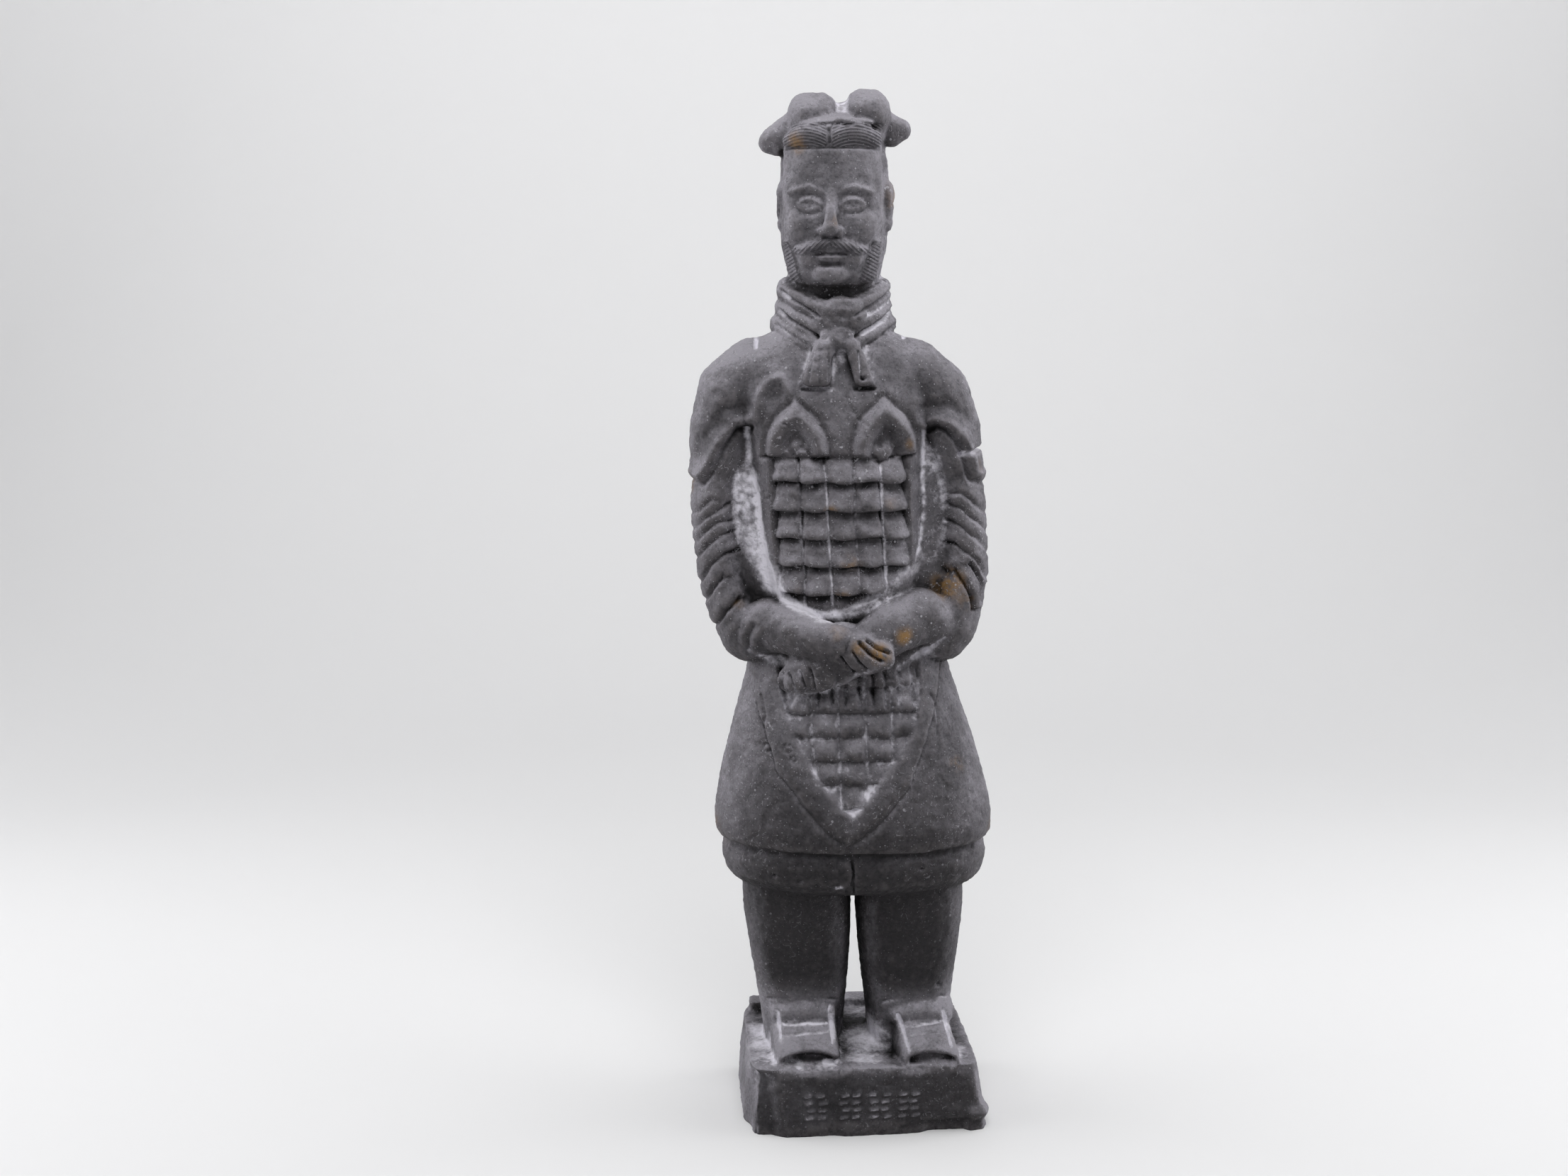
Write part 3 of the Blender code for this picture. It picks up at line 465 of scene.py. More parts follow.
def add_head(casting):
    """The face, the hair and a flat plait behind it, and the ears."""
    casting.standing(FACE, middle=(0, -1), squareness=2.6, turn=HEAD_TURN)
    casting.standing(BACK_HAIR, squareness=2.4, turn=HEAD_TURN)
    casting.limb([(0, 17, 287, 4, 3, 3), (0, 19, 272, 4.6, 3.4, 4), (0, 17.6, 256, 4, 3.2, 4)], 1)
    for side in (-1, 1):
        x, y = turned(side * (16.9 if side > 0 else 16.2), 0.6)
        casting.ball(
            ((x, y, 275.6), (1.9, 3.6, 4.4)), ((x, y + 0.6, 271.6), (1.8, 3.0, 4.8)),
            ((x * 0.99, y - 0.4, 267.4), (1.6, 2.0, 3.0)))
        casting.limb(on_face([
            (side * 2.2, -18.6, 275.6, 1.8, 1.1, 1.2), (side * 6.4, -18.3, 277.3, 2.4, 1.2, 1.2),
            (side * 11.6, -15.3, 276.1, 2.2, 1.2, 1.2)]), 0.8)
        casting.ball(
            ((*turned(side * 6.5, -15.5), 272.3), (3.7, 3.3, 3.1)),
            ((*turned(side * 8.9, -15.0), 266.0), (5.0, 3.7, 5.6)),
            ((*turned(side * 2.75, -20.0), 264.3), (1.8, 2.3, 1.7)),
            ((*turned(side * 5.4, -16.6), 257.4), (4.6, 2.8, 4.4)))
        casting.limb(on_face([
            (side * 0.6, -20.4, 261.0, 1.4, 1.5, 1.1), (side * 4.6, -19.9, 260.4, 1.8, 1.5, 1.35),
            (side * 8.4, -17.9, 258.9, 1.4, 1.4, 1.15), (side * 10.6, -16.3, 259.3, 1.0, 1.1, 0.8)]), 0.6)
    casting.limb(on_face([
        (0, -18.4, 277.0, 1.9, 1.6, 2), (0, -20.0, 272.6, 1.6, 1.9, 2), (0, -21.6, 268, 1.8, 2.2, 2.2),
        (0, -22.3, 265.2, 2.3, 2.5, 2.1)]), 0.6)
    casting.ball(
        ((*turned(0, -19.0), 259.0), (3.9, 1.9, 1.4)), ((*turned(0, -19.1), 256.5), (3.9, 1.9, 1.35)),
        ((*turned(0, -16.4), 251.9), (5.8, 3.9, 3.5)), ((*turned(0, -19.4), 262.3), (3.4, 1.7, 1.5)))


def add_cap_and_hair(casting):
    """The combed hair over the brow, and the cap with two lobes and a curl at each side."""
    casting.limb(on_face([
        (-2.4, -16.9, 292.4, 2.4, 2.3, 2.7), (-7.6, -15.9, 293.2, 3, 2.7, 3.2),
        (-12.6, -11.6, 291.6, 2.4, 3.0, 2.9)]), 0.7)
    casting.limb(on_face([
        (1.4, -16.9, 292.4, 2.4, 2.3, 2.7), (7.4, -15.9, 293.6, 3, 2.7, 3.3),
        (12.8, -11.6, 292.0, 2.4, 3.0, 3.0)]), 0.7)
    casting.ball(((1.2, 1.2, 294.0), (15.6, 15.4, 7.0)), ((1.5, -4, 295), (9, 8, 5)), ((3.2, -1, 296.4), (5, 8, 5.4)))
    casting.ball(((-0.5, -14.6, 295.4), (6, 3.2, 2.6)), ((3.0, 1, 298.4), (4.8, 9, 5.4)))
    casting.limb([
        (-7.0, -12.0, 296.4, 2, 3.6, 0.9), (1.6, -14.0, 297.6, 2, 3.6, 1.2),
        (10.2, -12.2, 296.9, 2, 3.6, 0.9)], 0.7)
    for left, right, top in ((-8.6, -3.6, 306.7), (9.0, 12.4, 307.6)):
        for x in (left, (left + right) / 2, right):
            casting.ball(((x, -1.5, top - 7.4), (5.6, 10, 7.4)), ((x, 8, top - 9.4), (5.6, 9, 7.2)))
    casting.limb([(-12.6, 1, 296.6, 4.6, 5, 4.4), (-17, 1, 293.6, 4.2, 4.6, 4.4), (-20, 1, 291.8, 3.2, 4, 3.6)])
    casting.limb([(15.6, 1, 297.4, 4.4, 5, 4.2), (20.8, 1, 295.6, 3.6, 4, 3.4)])
    casting.ball(((-17.2, 1, 291.2), (3.8, 4, 3.6)), ((18, 1, 293.8), (3.8, 4, 3.4)))


def add_legs_and_shoes(casting):
    """Straight wide legs a narrow gap apart, in square toed shoes with a full instep."""
    for side, middle in ((-1, -19.3), (1, 18.2)):
        rings = []
        for height, half_width, front, back, inward in LEG:
            x, y = outline(half_width, front, back, 2.5, 72)
            rings.append(np.stack([x + middle - side * inward, y, np.full(72, float(height))], axis=1))
        casting.loft(rings)
    points = 48
    for heel_x, toe_x, half_width in ((-17.8, -16.4, 10.4), (20.4, 23.6, 9.6)):
        rings = []
        for y, spread, top in SHOE:
            share = (y - SHOE[0][0]) / (SHOE[-1][0] - SHOE[0][0])
            middle = toe_x + (heel_x - toe_x) * min(1, share * 2.4)
            x, up = outline(half_width * spread, 4, top, 3.2, points)
            rings.append(np.stack([x + middle, np.full(points, float(y)), up], axis=1))
        casting.loft(rings)
        casting.limb([
            (heel_x - 7.6, -7.6, 12.4, 4, 8.4, 5), (heel_x, -8.6, 13.6, 5, 8.6, 5.8),
            (heel_x + 7.6, -7.6, 12.4, 4, 8.4, 5)], 1.2)


def add_plinth(casting, sizes):
    """The block under the shoes, flared at its foot, with a raised ledge behind the heels."""
    half_width, half_depth, top = sizes.plinth_width / 2, sizes.plinth_depth / 2, sizes.plinth_height
    points = 96
    rings = []
    for z, flare in ((-3 * casting.unit, 1.1), (top * 0.3, 0.8), (top, 0)):
        flare *= sizes.plinth_flare
        x, y = turned(*outline(half_width + flare, half_depth + flare * 0.6, half_depth, 12, points), PLINTH_TURN)
        rings.append(np.stack([x, y, np.full(points, z)], axis=1))
    casting.loft(rings, in_units=False)
    rings = []
    for z in (top * 0.4, top + sizes.ledge_rise):
        x, y = outline(half_width - 2 * casting.unit, sizes.ledge_depth / 2, sizes.ledge_depth / 2, 9, points)
        x, y = turned(x, y + half_depth - sizes.ledge_depth / 2, PLINTH_TURN)
        rings.append(np.stack([x, y, np.full(points, z)], axis=1))
    casting.loft(rings, in_units=False)
    casting.ball(((0.6, 5, -2.4), (20, 22, 5.2)))


def with_modifiers(mesh, *settings):
    """The mesh after a stack of modifiers, as a new mesh."""
    rough = bpy.data.objects.new("rough", mesh)
    bpy.context.scene.collection.objects.link(rough)
    for kind, values in settings:
        modifier = rough.modifiers.new(kind.lower(), kind)
        for name, value in values.items():
            setattr(modifier, name, value)
    evaluated = rough.evaluated_get(bpy.context.evaluated_depsgraph_get())
    made = bpy.data.meshes.new_from_object(evaluated)
    bpy.data.objects.remove(rough)
    bpy.data.meshes.remove(mesh)
    return made


def ramp(value, start, end):
    """0 before the start, 1 past the end, and a soft rise between them."""
    share = np.clip((value - start) / (end - start), 0, 1)
    return share * share * (3 - 2 * share)


def fall(value, start, end):
    """1 before the start, 0 past the end, and a soft fall between them."""
    return ramp(-value, -end, -start)


def ridge(distance, half_width):
    """1 on a line, falling softly to 0 at the half width."""
    return 1 - ramp(np.abs(distance), 0, half_width)


def along_line(line, x):
    """What a line of points says at x, from its first column to its second."""
    return np.interp(x, *zip(*line))


def to_polyline(x, h, points):
    """The distance from a polyline drawn on the front of the figure."""
    nearest = np.full(x.shape, 1e9)
    for (x0, h0), (x1, h1) in zip(points, points[1:]):
        length = (x1 - x0) ** 2 + (h1 - h0) ** 2
        share = np.clip(((x - x0) * (x1 - x0) + (h - h0) * (h1 - h0)) / length, 0, 1)
        away = np.hypot(x - x0 - share * (x1 - x0), h - h0 - share * (h1 - h0))
        nearest = np.minimum(nearest, away)
    return nearest


def groove(x, h, points, half_width):
    """1 on a polyline, falling softly to 0 at the half width."""
    return ridge(to_polyline(x, h, points), half_width)


def above(x, h, points):
    """Whether a point lies over a polyline or under it, as 1 or -1."""
    return np.sign(h - along_line(sorted(points), x))


def inside_v(x, h, points):
    """How far a point lies above a V drawn from left to right."""
    return h - np.interp(x, *zip(*points), left=1e3, right=1e3)


def chance(*numbers):
    """A steady pseudo-random share for each set of whole numbers."""
    mixed = sum(number * factor for number, factor in zip(numbers, (12.9898, 78.233, 37.719)))
    return np.abs(np.sin(mixed) * 43758.5453) % 1


class Surface:
    """The points of the fused clay in the figure's units, with what each carving function needs."""

    def __init__(self, points, normals, unit, soles):
        self.x, self.y = points[:, 0] / unit, points[:, 1] / unit
        self.h = (points[:, 2] - soles) / unit
        self.normals = normals
        self.front = ramp(-normals[:, 1], 0.1, 0.55)
        self.wander = self.noise(0.055)
        self.wobble = self.noise(0.16, 7.0)

    def noise(self, scale, offset=0.0):
        return np.array([
            noise.noise((x * scale + offset, y * scale, h * scale))
            for x, y, h in zip(self.x.tolist(), self.y.tolist(), self.h.tolist())])


def carve_armour(s):
    """The cushioned plates and the two arched bands on the chest, and the ridge of the left strap."""
    x = s.x + 0.5 * s.wobble
    pitch = (PLATES_RIGHT - PLATES_LEFT) / PLATE_COLUMNS
    column = (x - PLATES_LEFT) / pitch
    which = np.floor(column)
    h = s.h + 0.8 * s.wobble + 0.9 * (chance(which, 3) - 0.5)
    top = along_line(PLATES_EDGE, x)
    row = (PLATES_TOP - h) / PLATE_ROW
    index, along = np.floor(row), row - np.floor(row)
    across = np.minimum(column - which, 1 - column + which) * pitch
    panel = ramp(x, PLATES_LEFT - 0.4, PLATES_LEFT + 0.4) * fall(x, PLATES_RIGHT - 0.4, PLATES_RIGHT + 0.4)
    foot = along_line(PLATES_FOOT, x)
    panel *= ramp(s.h - foot, -0.8, 0.8) * ramp(top - s.h, -0.2, 0.6)
    uneven = chance(index, which)
    cushion = 1.3 * ramp(along, 0.06, 0.4) + 1.4 * ramp(along, 0.36, 0.8) - 3.1 * ramp(along, 0.87, 0.96)
    cushion *= 0.75 + 0.35 * ramp(across, 0.3, 3.0)
    cushion += 0.6 * (uneven - 0.5) + 0.7 * (chance(which, index, 2) - 0.5) * (column - which - 0.5)
    cushion -= (0.5 + 0.7 * chance(np.round(column), index)) * ridge(across, 0.9)
    depth = panel * (cushion + 0.5 * s.noise(0.3, 21.0) - 1.95)
    line = s.h - top - 0.2 + 0.5 * s.wobble
    depth -= 1.5 * ridge(line, 0.9) * ramp(x, -24.5, -23) * fall(x, 24.5, 26)
    on_chest = ramp(s.h - top, 0.0, 0.7)
    for middle, foot, half_width, rise in ARCHES:
        lean = x - middle - 0.35 * s.wobble
        pointed = 1 - 0.14 * np.clip(1 - np.abs(lean) / 3.4, 0, 1)
        r = np.hypot(lean / half_width, np.maximum(s.h - foot, 0) / rise) * pointed
        bands = 2.0 * ridge(r - 1.02, 0.42) - 1.9 * (1 - ramp(r, 0.5, 0.76)) - 0.8 * ridge(r - 1.42, 0.2)
        depth += on_chest * bands
        fallen = on_chest * (1 - ramp(r, 0.45, 0.7)) * fall(s.h, 198.4, 202)
        depth += 1.4 * fallen * ramp(s.noise(0.35, middle) + 0.2, 0.0, 0.35)
    strap = to_polyline(x, s.h, STRAP)
    depth += ramp(s.h, 205, 208) * ramp(-x, 10, 15) * 1.1 * ridge(strap, 2.2)
    depth -= 0.9 * (1 - ramp(np.hypot((x + 18.4) / 3.6, (s.h - 212.6) / 5.4), 0.3, 1.0))
    return depth * s.front * ramp(-s.y, 15, 18)


def carve_apron(s):
    """The pointed front of the armour over the skirt, with its border and small plates."""
    x, h = s.x + 0.6 * s.wobble, s.h + 0.6 * s.wobble
    level = ramp(h, 70, 76) * fall(h, 126, 134)
    edge, plates = inside_v(x, h, APRON_EDGE), inside_v(x, h, APRON_PLATES)
    depth = level * (0.9 * ramp(edge, -0.8, 1.8) - 0.5 * ridge(edge + 1.6, 1.6))
    column = (x + 4.2) / APRON_COLUMN
    row = (h - APRON_FOOT + 0.8 * (chance(np.floor(column), 5) - 0.5)) / APRON_ROW
    along = row - np.floor(row)
    across = np.abs(column - np.round(column)) * APRON_COLUMN
    small = 1.3 * fall(along, 0.3, 0.98) - 0.5 * fall(along, 0, 0.2)
    small *= 0.5 + 0.5 * ramp(across, 0.3, 2.2)
    small += 0.5 * (chance(np.floor(row), np.floor(column)) - 0.5) - 0.4 * ridge(across, 1.0)
    depth += level * ramp(plates, -0.8, 2.0) * (small - 1.9 + 0.6 * s.noise(0.25, 31.0))
    slot = (x + 1.6) / APRON_SLOT
    slots = np.abs(slot - np.round(slot)) * APRON_SLOT
    hands = np.interp(x, [-8, 0, 6, 14], [122.5, 126.5, 130, 134])
    depth -= level * 1.3 * ridge(slots, 1.3) * ramp(h, 116, 119) * ramp(hands - h, -1, 1.5) * ramp(plates, 0, 2)
    return depth * s.front


def carve_sleeves(s):
    """The shoulder guards' rims and the folds that swing round the elbows."""
    side = np.abs(s.x)
    outside = ramp(np.abs(s.normals[:, 0]) + np.abs(s.normals[:, 1]), 0.3, 0.6)
    edgewise = 0.55 + 0.45 * ramp(np.abs(s.normals[:, 1]), 0.2, 0.7)
    x, h = s.x + 0.5 * s.wobble, s.h + 0.7 * s.wobble
    depth = np.zeros_like(x)
    for rim in GUARDS:
        away = to_polyline(x, h, rim) * above(x, h, rim)
        depth += 1.5 * ridge(away - 1.7, 2.3) - 0.7 * ridge(away - 6.2, 3.0)
        depth -= 1.2 * ridge(away + 0.9, 1.5) + 0.5 * ridge(away + 3, 3.5)
    inner = np.interp(s.h, [138, 146, 158, 170, 185, 196, 206], [30, 29.5, 30, 31.5, 31.5, 29, 25.5])
    depth *= ramp(side, inner - 1, inner + 1)
    folds = np.zeros_like(x)
    for deep, line in FOLDS:
        away = to_polyline(x, h, line) * above(x, h, line)
        folds -= deep * (0.85 * ridge(away + 0.2, 1.05) + 0.25 * ridge(away + 1.9, 3.4))
        folds += deep * 0.22 * ridge(away - 2.0, 2.2)
    depth += folds * ramp(side, inner, inner + 2)
    return depth * outside * edgewise


def carve_hands(s):
    """Slits between the fingers of both hands, and the line of the right cuff."""
    depth = np.zeros_like(s.x)
    proud = ramp(-s.y, 24.5, 26.5)
    for deep, half_width, ends in (
            (1.5, 0.8, [(-2.6, 135.9), (-0.8, 132.6), (1.6, 129.9)]),
            (1.5, 0.8, [(1.1, 137.5), (2.8, 134.4), (5.4, 131.7)]),
            (1.9, 0.95, [(3.4, 140.5), (6.2, 137.2), (9.9, 134.6)]),
            (1.7, 0.85, [(5.7, 141.4), (9, 138.6), (12.6, 136.9)])):
        depth -= proud * deep * groove(s.x, s.h, ends, half_width)
    for ends in ([(-19, 129), (-17, 123.4)], [(-15.8, 130.4), (-13.8, 123.8)], [(-12.4, 131.2), (-11, 125)]):
        depth -= 1.4 * groove(s.x, s.h, ends, 0.8) * ramp(-s.y, 20, 22)
    depth -= 0.6 * groove(s.x, s.h, [(17.6, 131.6), (23.2, 134.4), (30.8, 139.4)], 0.9)
    cuff = to_polyline(s.x, s.h, [(-29, 143.6), (-31, 139.4), (-31.2, 134.7)])
    depth -= 0.6 * ridge(cuff, 1.2) - 0.3 * ridge(cuff - 2, 1.6)
    return depth * s.front


def combing(x, y, h):
    """The hair's strands: a count that grows by one from strand to strand, and where they show."""
    tx, ty = turned(x, y, -HEAD_TURN)
    side = np.abs(tx + 0.4)
    front = ramp(-ty, 6, 9)
    brow = ramp(h, 288.9, 289.6) * fall(h, 296.2, 297) * front * ramp(side, 0.7, 1.3)
    swept = h - 294 + 0.042 * (side - 7.6) ** 2
    jaw = ramp(side - 0.32 * (h - 250.5), 9.0, 9.8) * fall(h, 260.8, 261.6) * ramp(h, 249.4, 250.2) * front
    lip = groove(np.abs(tx), h, [(0.8, 261), (4.6, 260.4), (8.4, 258.9), (10.6, 259.3)], 2.0)
    lip = ramp(lip, 0.1, 0.5) * ramp(-ty, 14, 16)
    behind = ramp(ty, 0, 2) * ramp(h, 244, 247) * fall(h, 290, 293)
    plait = fall(np.abs(x), 4.4, 5.2) * behind
    count = np.where(brow > 0, swept / 0.92, 0.0)
    count = np.where((jaw > 0) & (brow <= 0), (h + 0.6 * side) / 1.15, count)
    count = np.where((lip > 0) & (jaw <= 0), (side * 0.5 + (h - 255) * 0.55) / 0.72, count)
    spread = np.degrees(np.arctan2(x, np.maximum(y, 0.5)))
    back = np.where(np.abs(x) < 4.8, (h + 1.1 * np.abs(x)) / 2.6, (np.abs(spread) + 0.10 * (h - 245)) / 4.6)
    count = np.where(behind > 0, back, count)
    shown = np.clip(brow + jaw + 0.75 * lip * (jaw <= 0) + behind * 0.8, 0, 1)
    return count, np.where((plait > 0) & (plait < 1), 0, shown)


def carve_head(s):
    """Eyes with their lids, the nose, the lips, the hair's border and its strands, and the ears."""
    x, y = turned(s.x, s.y, -HEAD_TURN)
    h = s.h
    front = ramp(-y, 6, 11)
    depth = np.zeros_like(x)
    for side in (-1, 1):
        across, up = (x - side * 6.5) * side, h - 272.3 - 0.06 * (x - side * 6.5) * side
        away = np.hypot(across / 5.4, (h - 272.6) / 3.9)
        eyelid = np.hypot(across / 4.4, up / np.where(up > 0, 2.9, 2.3))
        depth -= 0.9 * (1 - ramp(away, 0.55, 1.05)) * ramp(eyelid, 0.8, 1.15) * front
        bow = 1 - np.clip(np.abs(across) / 3.3, 0, 1) ** 2
        upper, lower = 1.25 * bow, -0.95 * bow
        opening = ramp(upper - up, -0.15, 0.25) * ramp(up - lower, -0.15, 0.25) * (np.abs(across) < 3.3)
        depth += (0.5 * (1 - opening) * (1 - ramp(eyelid, 0.4, 1.1)) + 0.1 * opening) * front
        depth += 0.2 * ridge(up - upper - 0.45, 0.55) * (np.abs(across) < 3.9) * front
        depth -= 0.4 * ridge(up - upper - 1.5 + 0.1 * np.abs(across), 0.5) * (np.abs(across) < 4) * front
        depth -= 0.28 * ridge(np.hypot(across, up - 0.1) - 1.05, 0.4) * opening * front
        nostril = np.hypot((x - side * 1.5) / 0.8, (h - 262.7) / 0.6)
        depth -= 0.5 * (1 - ramp(nostril, 0.3, 1.1)) * ramp(-y, 20, 21)
        for raised, half_width, line in (
                (-0.28, 1.1, [(3.9, 264.2), (5.8, 261.2), (6.4, 258.6)]),
                (-0.5, 0.7, [(3.6, 266.2), (4.2, 264.6), (3.9, 263.0)]),
                (0.3, 0.9, [(2.6, 276.2), (6.8, 278.0), (11.4, 276.6)])):
            depth += raised * groove(x * side, h, line, half_width) * front
    border = np.interp(h, [250, 262, 276, 288], [13.9, 15.2, 15.9, 15.7])
    level = ramp(h, 249.5, 251) * fall(h, 288.6, 290)
    rim = np.abs(x) - border
    depth -= 1.1 * ridge(rim, 0.8) * level * ramp(-y, 0, 3)
    depth += 0.5 * ridge(rim - 1.4, 1.0) * level * ramp(-y, 0, 3)
    depth -= 0.8 * ridge(h - 289.2, 0.7) * front * fall(np.abs(x), 13.5, 15)
    depth -= 1.0 * ridge(x + 0.4, 0.8) * ramp(h, 289.5, 290.5) * fall(h, 294.4, 295.2) * front
    depth -= 0.7 * ridge(h - 296.4 + 0.012 * x * x, 0.7) * front * fall(np.abs(x - 1), 9, 11)
    mouth = [(-4.6, 257.5), (-1.6, 257.9), (0, 257.7), (1.6, 257.9), (4.6, 257.5)]
    depth -= 0.7 * groove(x, h, mouth, 0.75) * front
    depth -= 0.5 * groove(x, h, [(-2.8, 254.6), (2.8, 254.6)], 1.1) * front
    depth -= 0.35 * groove(x, h, [(0, 262.2), (0, 260.4)], 0.8) * front
    ear = np.hypot((s.y - 1.0) / 2.2, (h - 272.4) / 5.6)
    depth -= 0.9 * ridge(ear - 0.6, 0.3) * ramp(np.abs(s.normals[:, 0]), 0.3, 0.6) * ramp(np.abs(x), 16.2, 17)
    count, shown = combing(s.x, s.y, s.h)
    jowl = front * fall(h, 261.6, 262.2) * ramp(np.abs(x) - 0.32 * (h - 250.5), 8.8, 9.6)
    depth += shown * (0.2 + 0.16 * jowl) * np.cos(2 * math.pi * count) + 0.7 * jowl * ramp(h, 248.6, 249.8)
    return depth * ramp(h, 248.2, 248.8)


def carve_scarf(s):
    """Creases that sweep with the scarf to the throat, and the folds and ends of its tails."""
    side = np.abs(s.x - 0.8)
    depth = np.zeros_like(s.x)
    for line, deep in (
            ([(17.4, 246.6), (13.9, 244.0), (9.6, 241.4), (5.5, 239)], 1.3),
            ([(17.9, 240.8), (15, 238.2), (9.4, 234.9), (6, 233)], 1.3),
            ([(18.6, 236.2), (13.8, 232.8), (9.4, 230.2)], 0.7),
            ([(16.6, 249.2), (11, 246.4), (6, 244)], 0.3),
            ([(17.8, 243.8), (13, 241), (8, 238)], 0.3)):
        depth -= deep * groove(side, s.h + 0.5 * s.wobble, line, 0.9) * ramp(-s.y, -4, 4)
    neck = ramp(s.h, 229, 232) * fall(s.h, 242, 246) * fall(side, 6, 9) * ramp(-s.y, 10, 13)
    depth += neck * 0.7 * s.noise(0.45, 40.0)
    tails = ramp(s.h, 217, 219) * fall(s.h, 229, 231) * ramp(-s.y, 19, 20.5) * fall(side, 12, 13)
    creases = sum(deep * groove(s.x, s.h, line, half_width) for deep, half_width, line in (
        (0.5, 0.7, [(-6.4, 229), (-8, 219)]), (0.45, 0.6, [(-4.2, 229), (-4.6, 219)]),
        (0.4, 0.6, [(-1.8, 229), (-1.6, 219)]), (1.0, 0.7, [(7.4, 228.6), (7.9, 221)])))
    creases += 1.2 * (1 - ramp(np.hypot((s.x - 8.6) / 1.3, (s.h - 220.4) / 0.9), 0.4, 1.1))
    depth -= tails * s.front * creases
    for left, right in ((-10.4, -0.6), (5.8, 12.6)):
        under = ridge(s.h - 217.2, 0.9) * ramp(s.x, left - 0.5, left + 0.5) * fall(s.x, right - 0.5, right + 0.5)
        depth -= 1.1 * under * ramp(-s.y, 15, 18)
    return depth


def carve_shoes(s):
    """The straps, the tapered side slots and the gap over the soles of both shoes."""
    level = ramp(s.h, -1, 0.3) * fall(s.h, 17, 19) * ramp(-s.y, 5, 8)
    depth = np.zeros_like(s.x)
    for left, right, lines, slots in (
            (-25.0, -6.0, ([(-24.4, 10.2), (-17, 10.8), (-10.1, 10.6)], [(-24.8, 8.0), (-17.1, 8.7), (-9.5, 8.9)]),
             ([(-26.2, 13.8), (-25.5, 7.4)], [(-9.0, 14.8), (-8.3, 6.4)])),
            (15.4, 31.8, ([(15.3, 9.8), (21.5, 10.7), (28, 11.1)], [(15.8, 8), (21.6, 8.8), (28, 9.2)]),
             ([(13.1, 12.8), (16.2, 4.5)], [(28.2, 14.2), (30.0, 5.6)]))):
        for line in lines:
            depth -= 0.6 * groove(s.x, s.h, line, 0.6)
        for slot in slots:
            taper = np.interp(s.h, [5, 14], [0.5, 1.5])
            depth -= 1.3 * ridge(to_polyline(s.x, s.h, slot) / taper, 0.9)
        inside = ramp(s.x, left - 0.4, left + 1.4) * fall(s.x, right - 1.4, right + 0.4)
        arc = 4.6 - 0.03 * (s.x - (left + right) / 2) ** 2
        depth -= 2.7 * inside * ramp(s.h, 0.2, 1.1) * ramp(arc - s.h, -0.3, 0.7) * ramp(-s.y, 21.5, 23)
    for middle in (-18.4, 19.8):
        collar = 19.3 - 0.02 * (s.x - middle) ** 2
        depth -= 0.9 * ridge(s.h - collar, 0.9) * ramp(-s.y, 9, 12) * fall(np.abs(s.x - middle), 11, 13)
    return depth * level


def strokes(x, h):
    """Four blocks of short level strokes on the block's front."""
    drawn = np.zeros_like(x)
    for block, left in enumerate((-18.4, -7.4, 2.4, 11.8)):
        for row in range(4):
            height = -9.2 - 2.4 * row
            for dash in range(2):
                start = left + 0.4 + 3.7 * dash + 1.2 * chance(block, row, dash)
                drawn = np.maximum(drawn, groove(x, h, [(start, height), (start + 2.1, height + 0.3)], 0.65))
    return drawn


def carve_plinth(s):
    """Rows of shallow strokes on the block's front, its bulging corner and its worn edges."""
    depth = np.zeros_like(s.x)
    face = ramp(-s.normals[:, 1], 0.6, 0.85) * ramp(-s.y, 22, 24)
    depth += 0.55 * strokes(s.x, s.h) * face
    depth -= 2.4 * ramp(-s.x - s.y, 55, 61) * ramp(-s.h, 0, 2.5)
    corner = ramp(-s.h, 13.5, 18) * ramp(s.x, 17, 24) * ramp(-s.y, 20, 24)
    depth -= 1.9 * corner * fall(s.x, 33, 36) * ramp(-s.h, 17.5, 19.2)
    depth += 1.6 * ridge(s.h + 17, 3.2) * ramp(s.x, 34, 37) * ramp(-s.y, 14, 20)
    edges = ramp(-s.h, 17, 21) + ramp(s.h, -3, -0.6) * ramp(-s.y, 20, 25)
    depth -= 0.9 * edges * ramp(s.wander + 0.5 * s.wobble, 0.05, 0.5)
    depth += 0.7 * s.wander * face
    return depth * fall(s.h, -0.2, 2.5)


def carve_marks(s):
    """Scratches, cracks, ring marks, pits and slots that wear and casting left on the front."""
    depth = np.zeros_like(s.x)
    for points, deep, half_width in SCRATCHES:
        depth -= deep * groove(s.x + 0.4 * s.wobble, s.h, points, half_width)
    for x, h, radius in RING_MARKS:
        depth -= 0.5 * ridge(np.hypot(s.x - x, s.h - h) - radius, 0.5)
    for x, h, radius in PITS:
        depth -= 1.1 * ridge(np.hypot(s.x - x, (s.h - h) * 1.2), radius)
    depth *= s.front
    for x, low, high in ((-24.1, 228.8, 236), (22.0, 231.6, 237.5)):
        depth -= 1.6 * ridge(s.x - x, 0.9) * ramp(s.h, low, low + 0.8) * fall(s.h, high - 1, high) * ramp(-s.y, 2, 5)
    notch = groove(s.x, s.h, [(38.2, 196.4), (47, 197.6)], 1.1)
    depth -= 2.2 * notch * ramp(s.x, 36, 39)
    depth -= 0.7 * ridge(s.h - 70.4 + 0.8 * s.wobble, 2.4)
    seam = ridge(s.x + 0.9 + 0.5 * s.wobble, 0.9) * ramp(s.h, 54, 57) * fall(s.h, 66, 70) * s.front
    return depth - 0.9 * seam


def weather(s):
    """The soft unevenness of hand pressed clay."""
    return 0.32 * s.wander + 0.22 * s.noise(0.4, 3.0) + 0.15 * s.noise(0.85, 11.0)


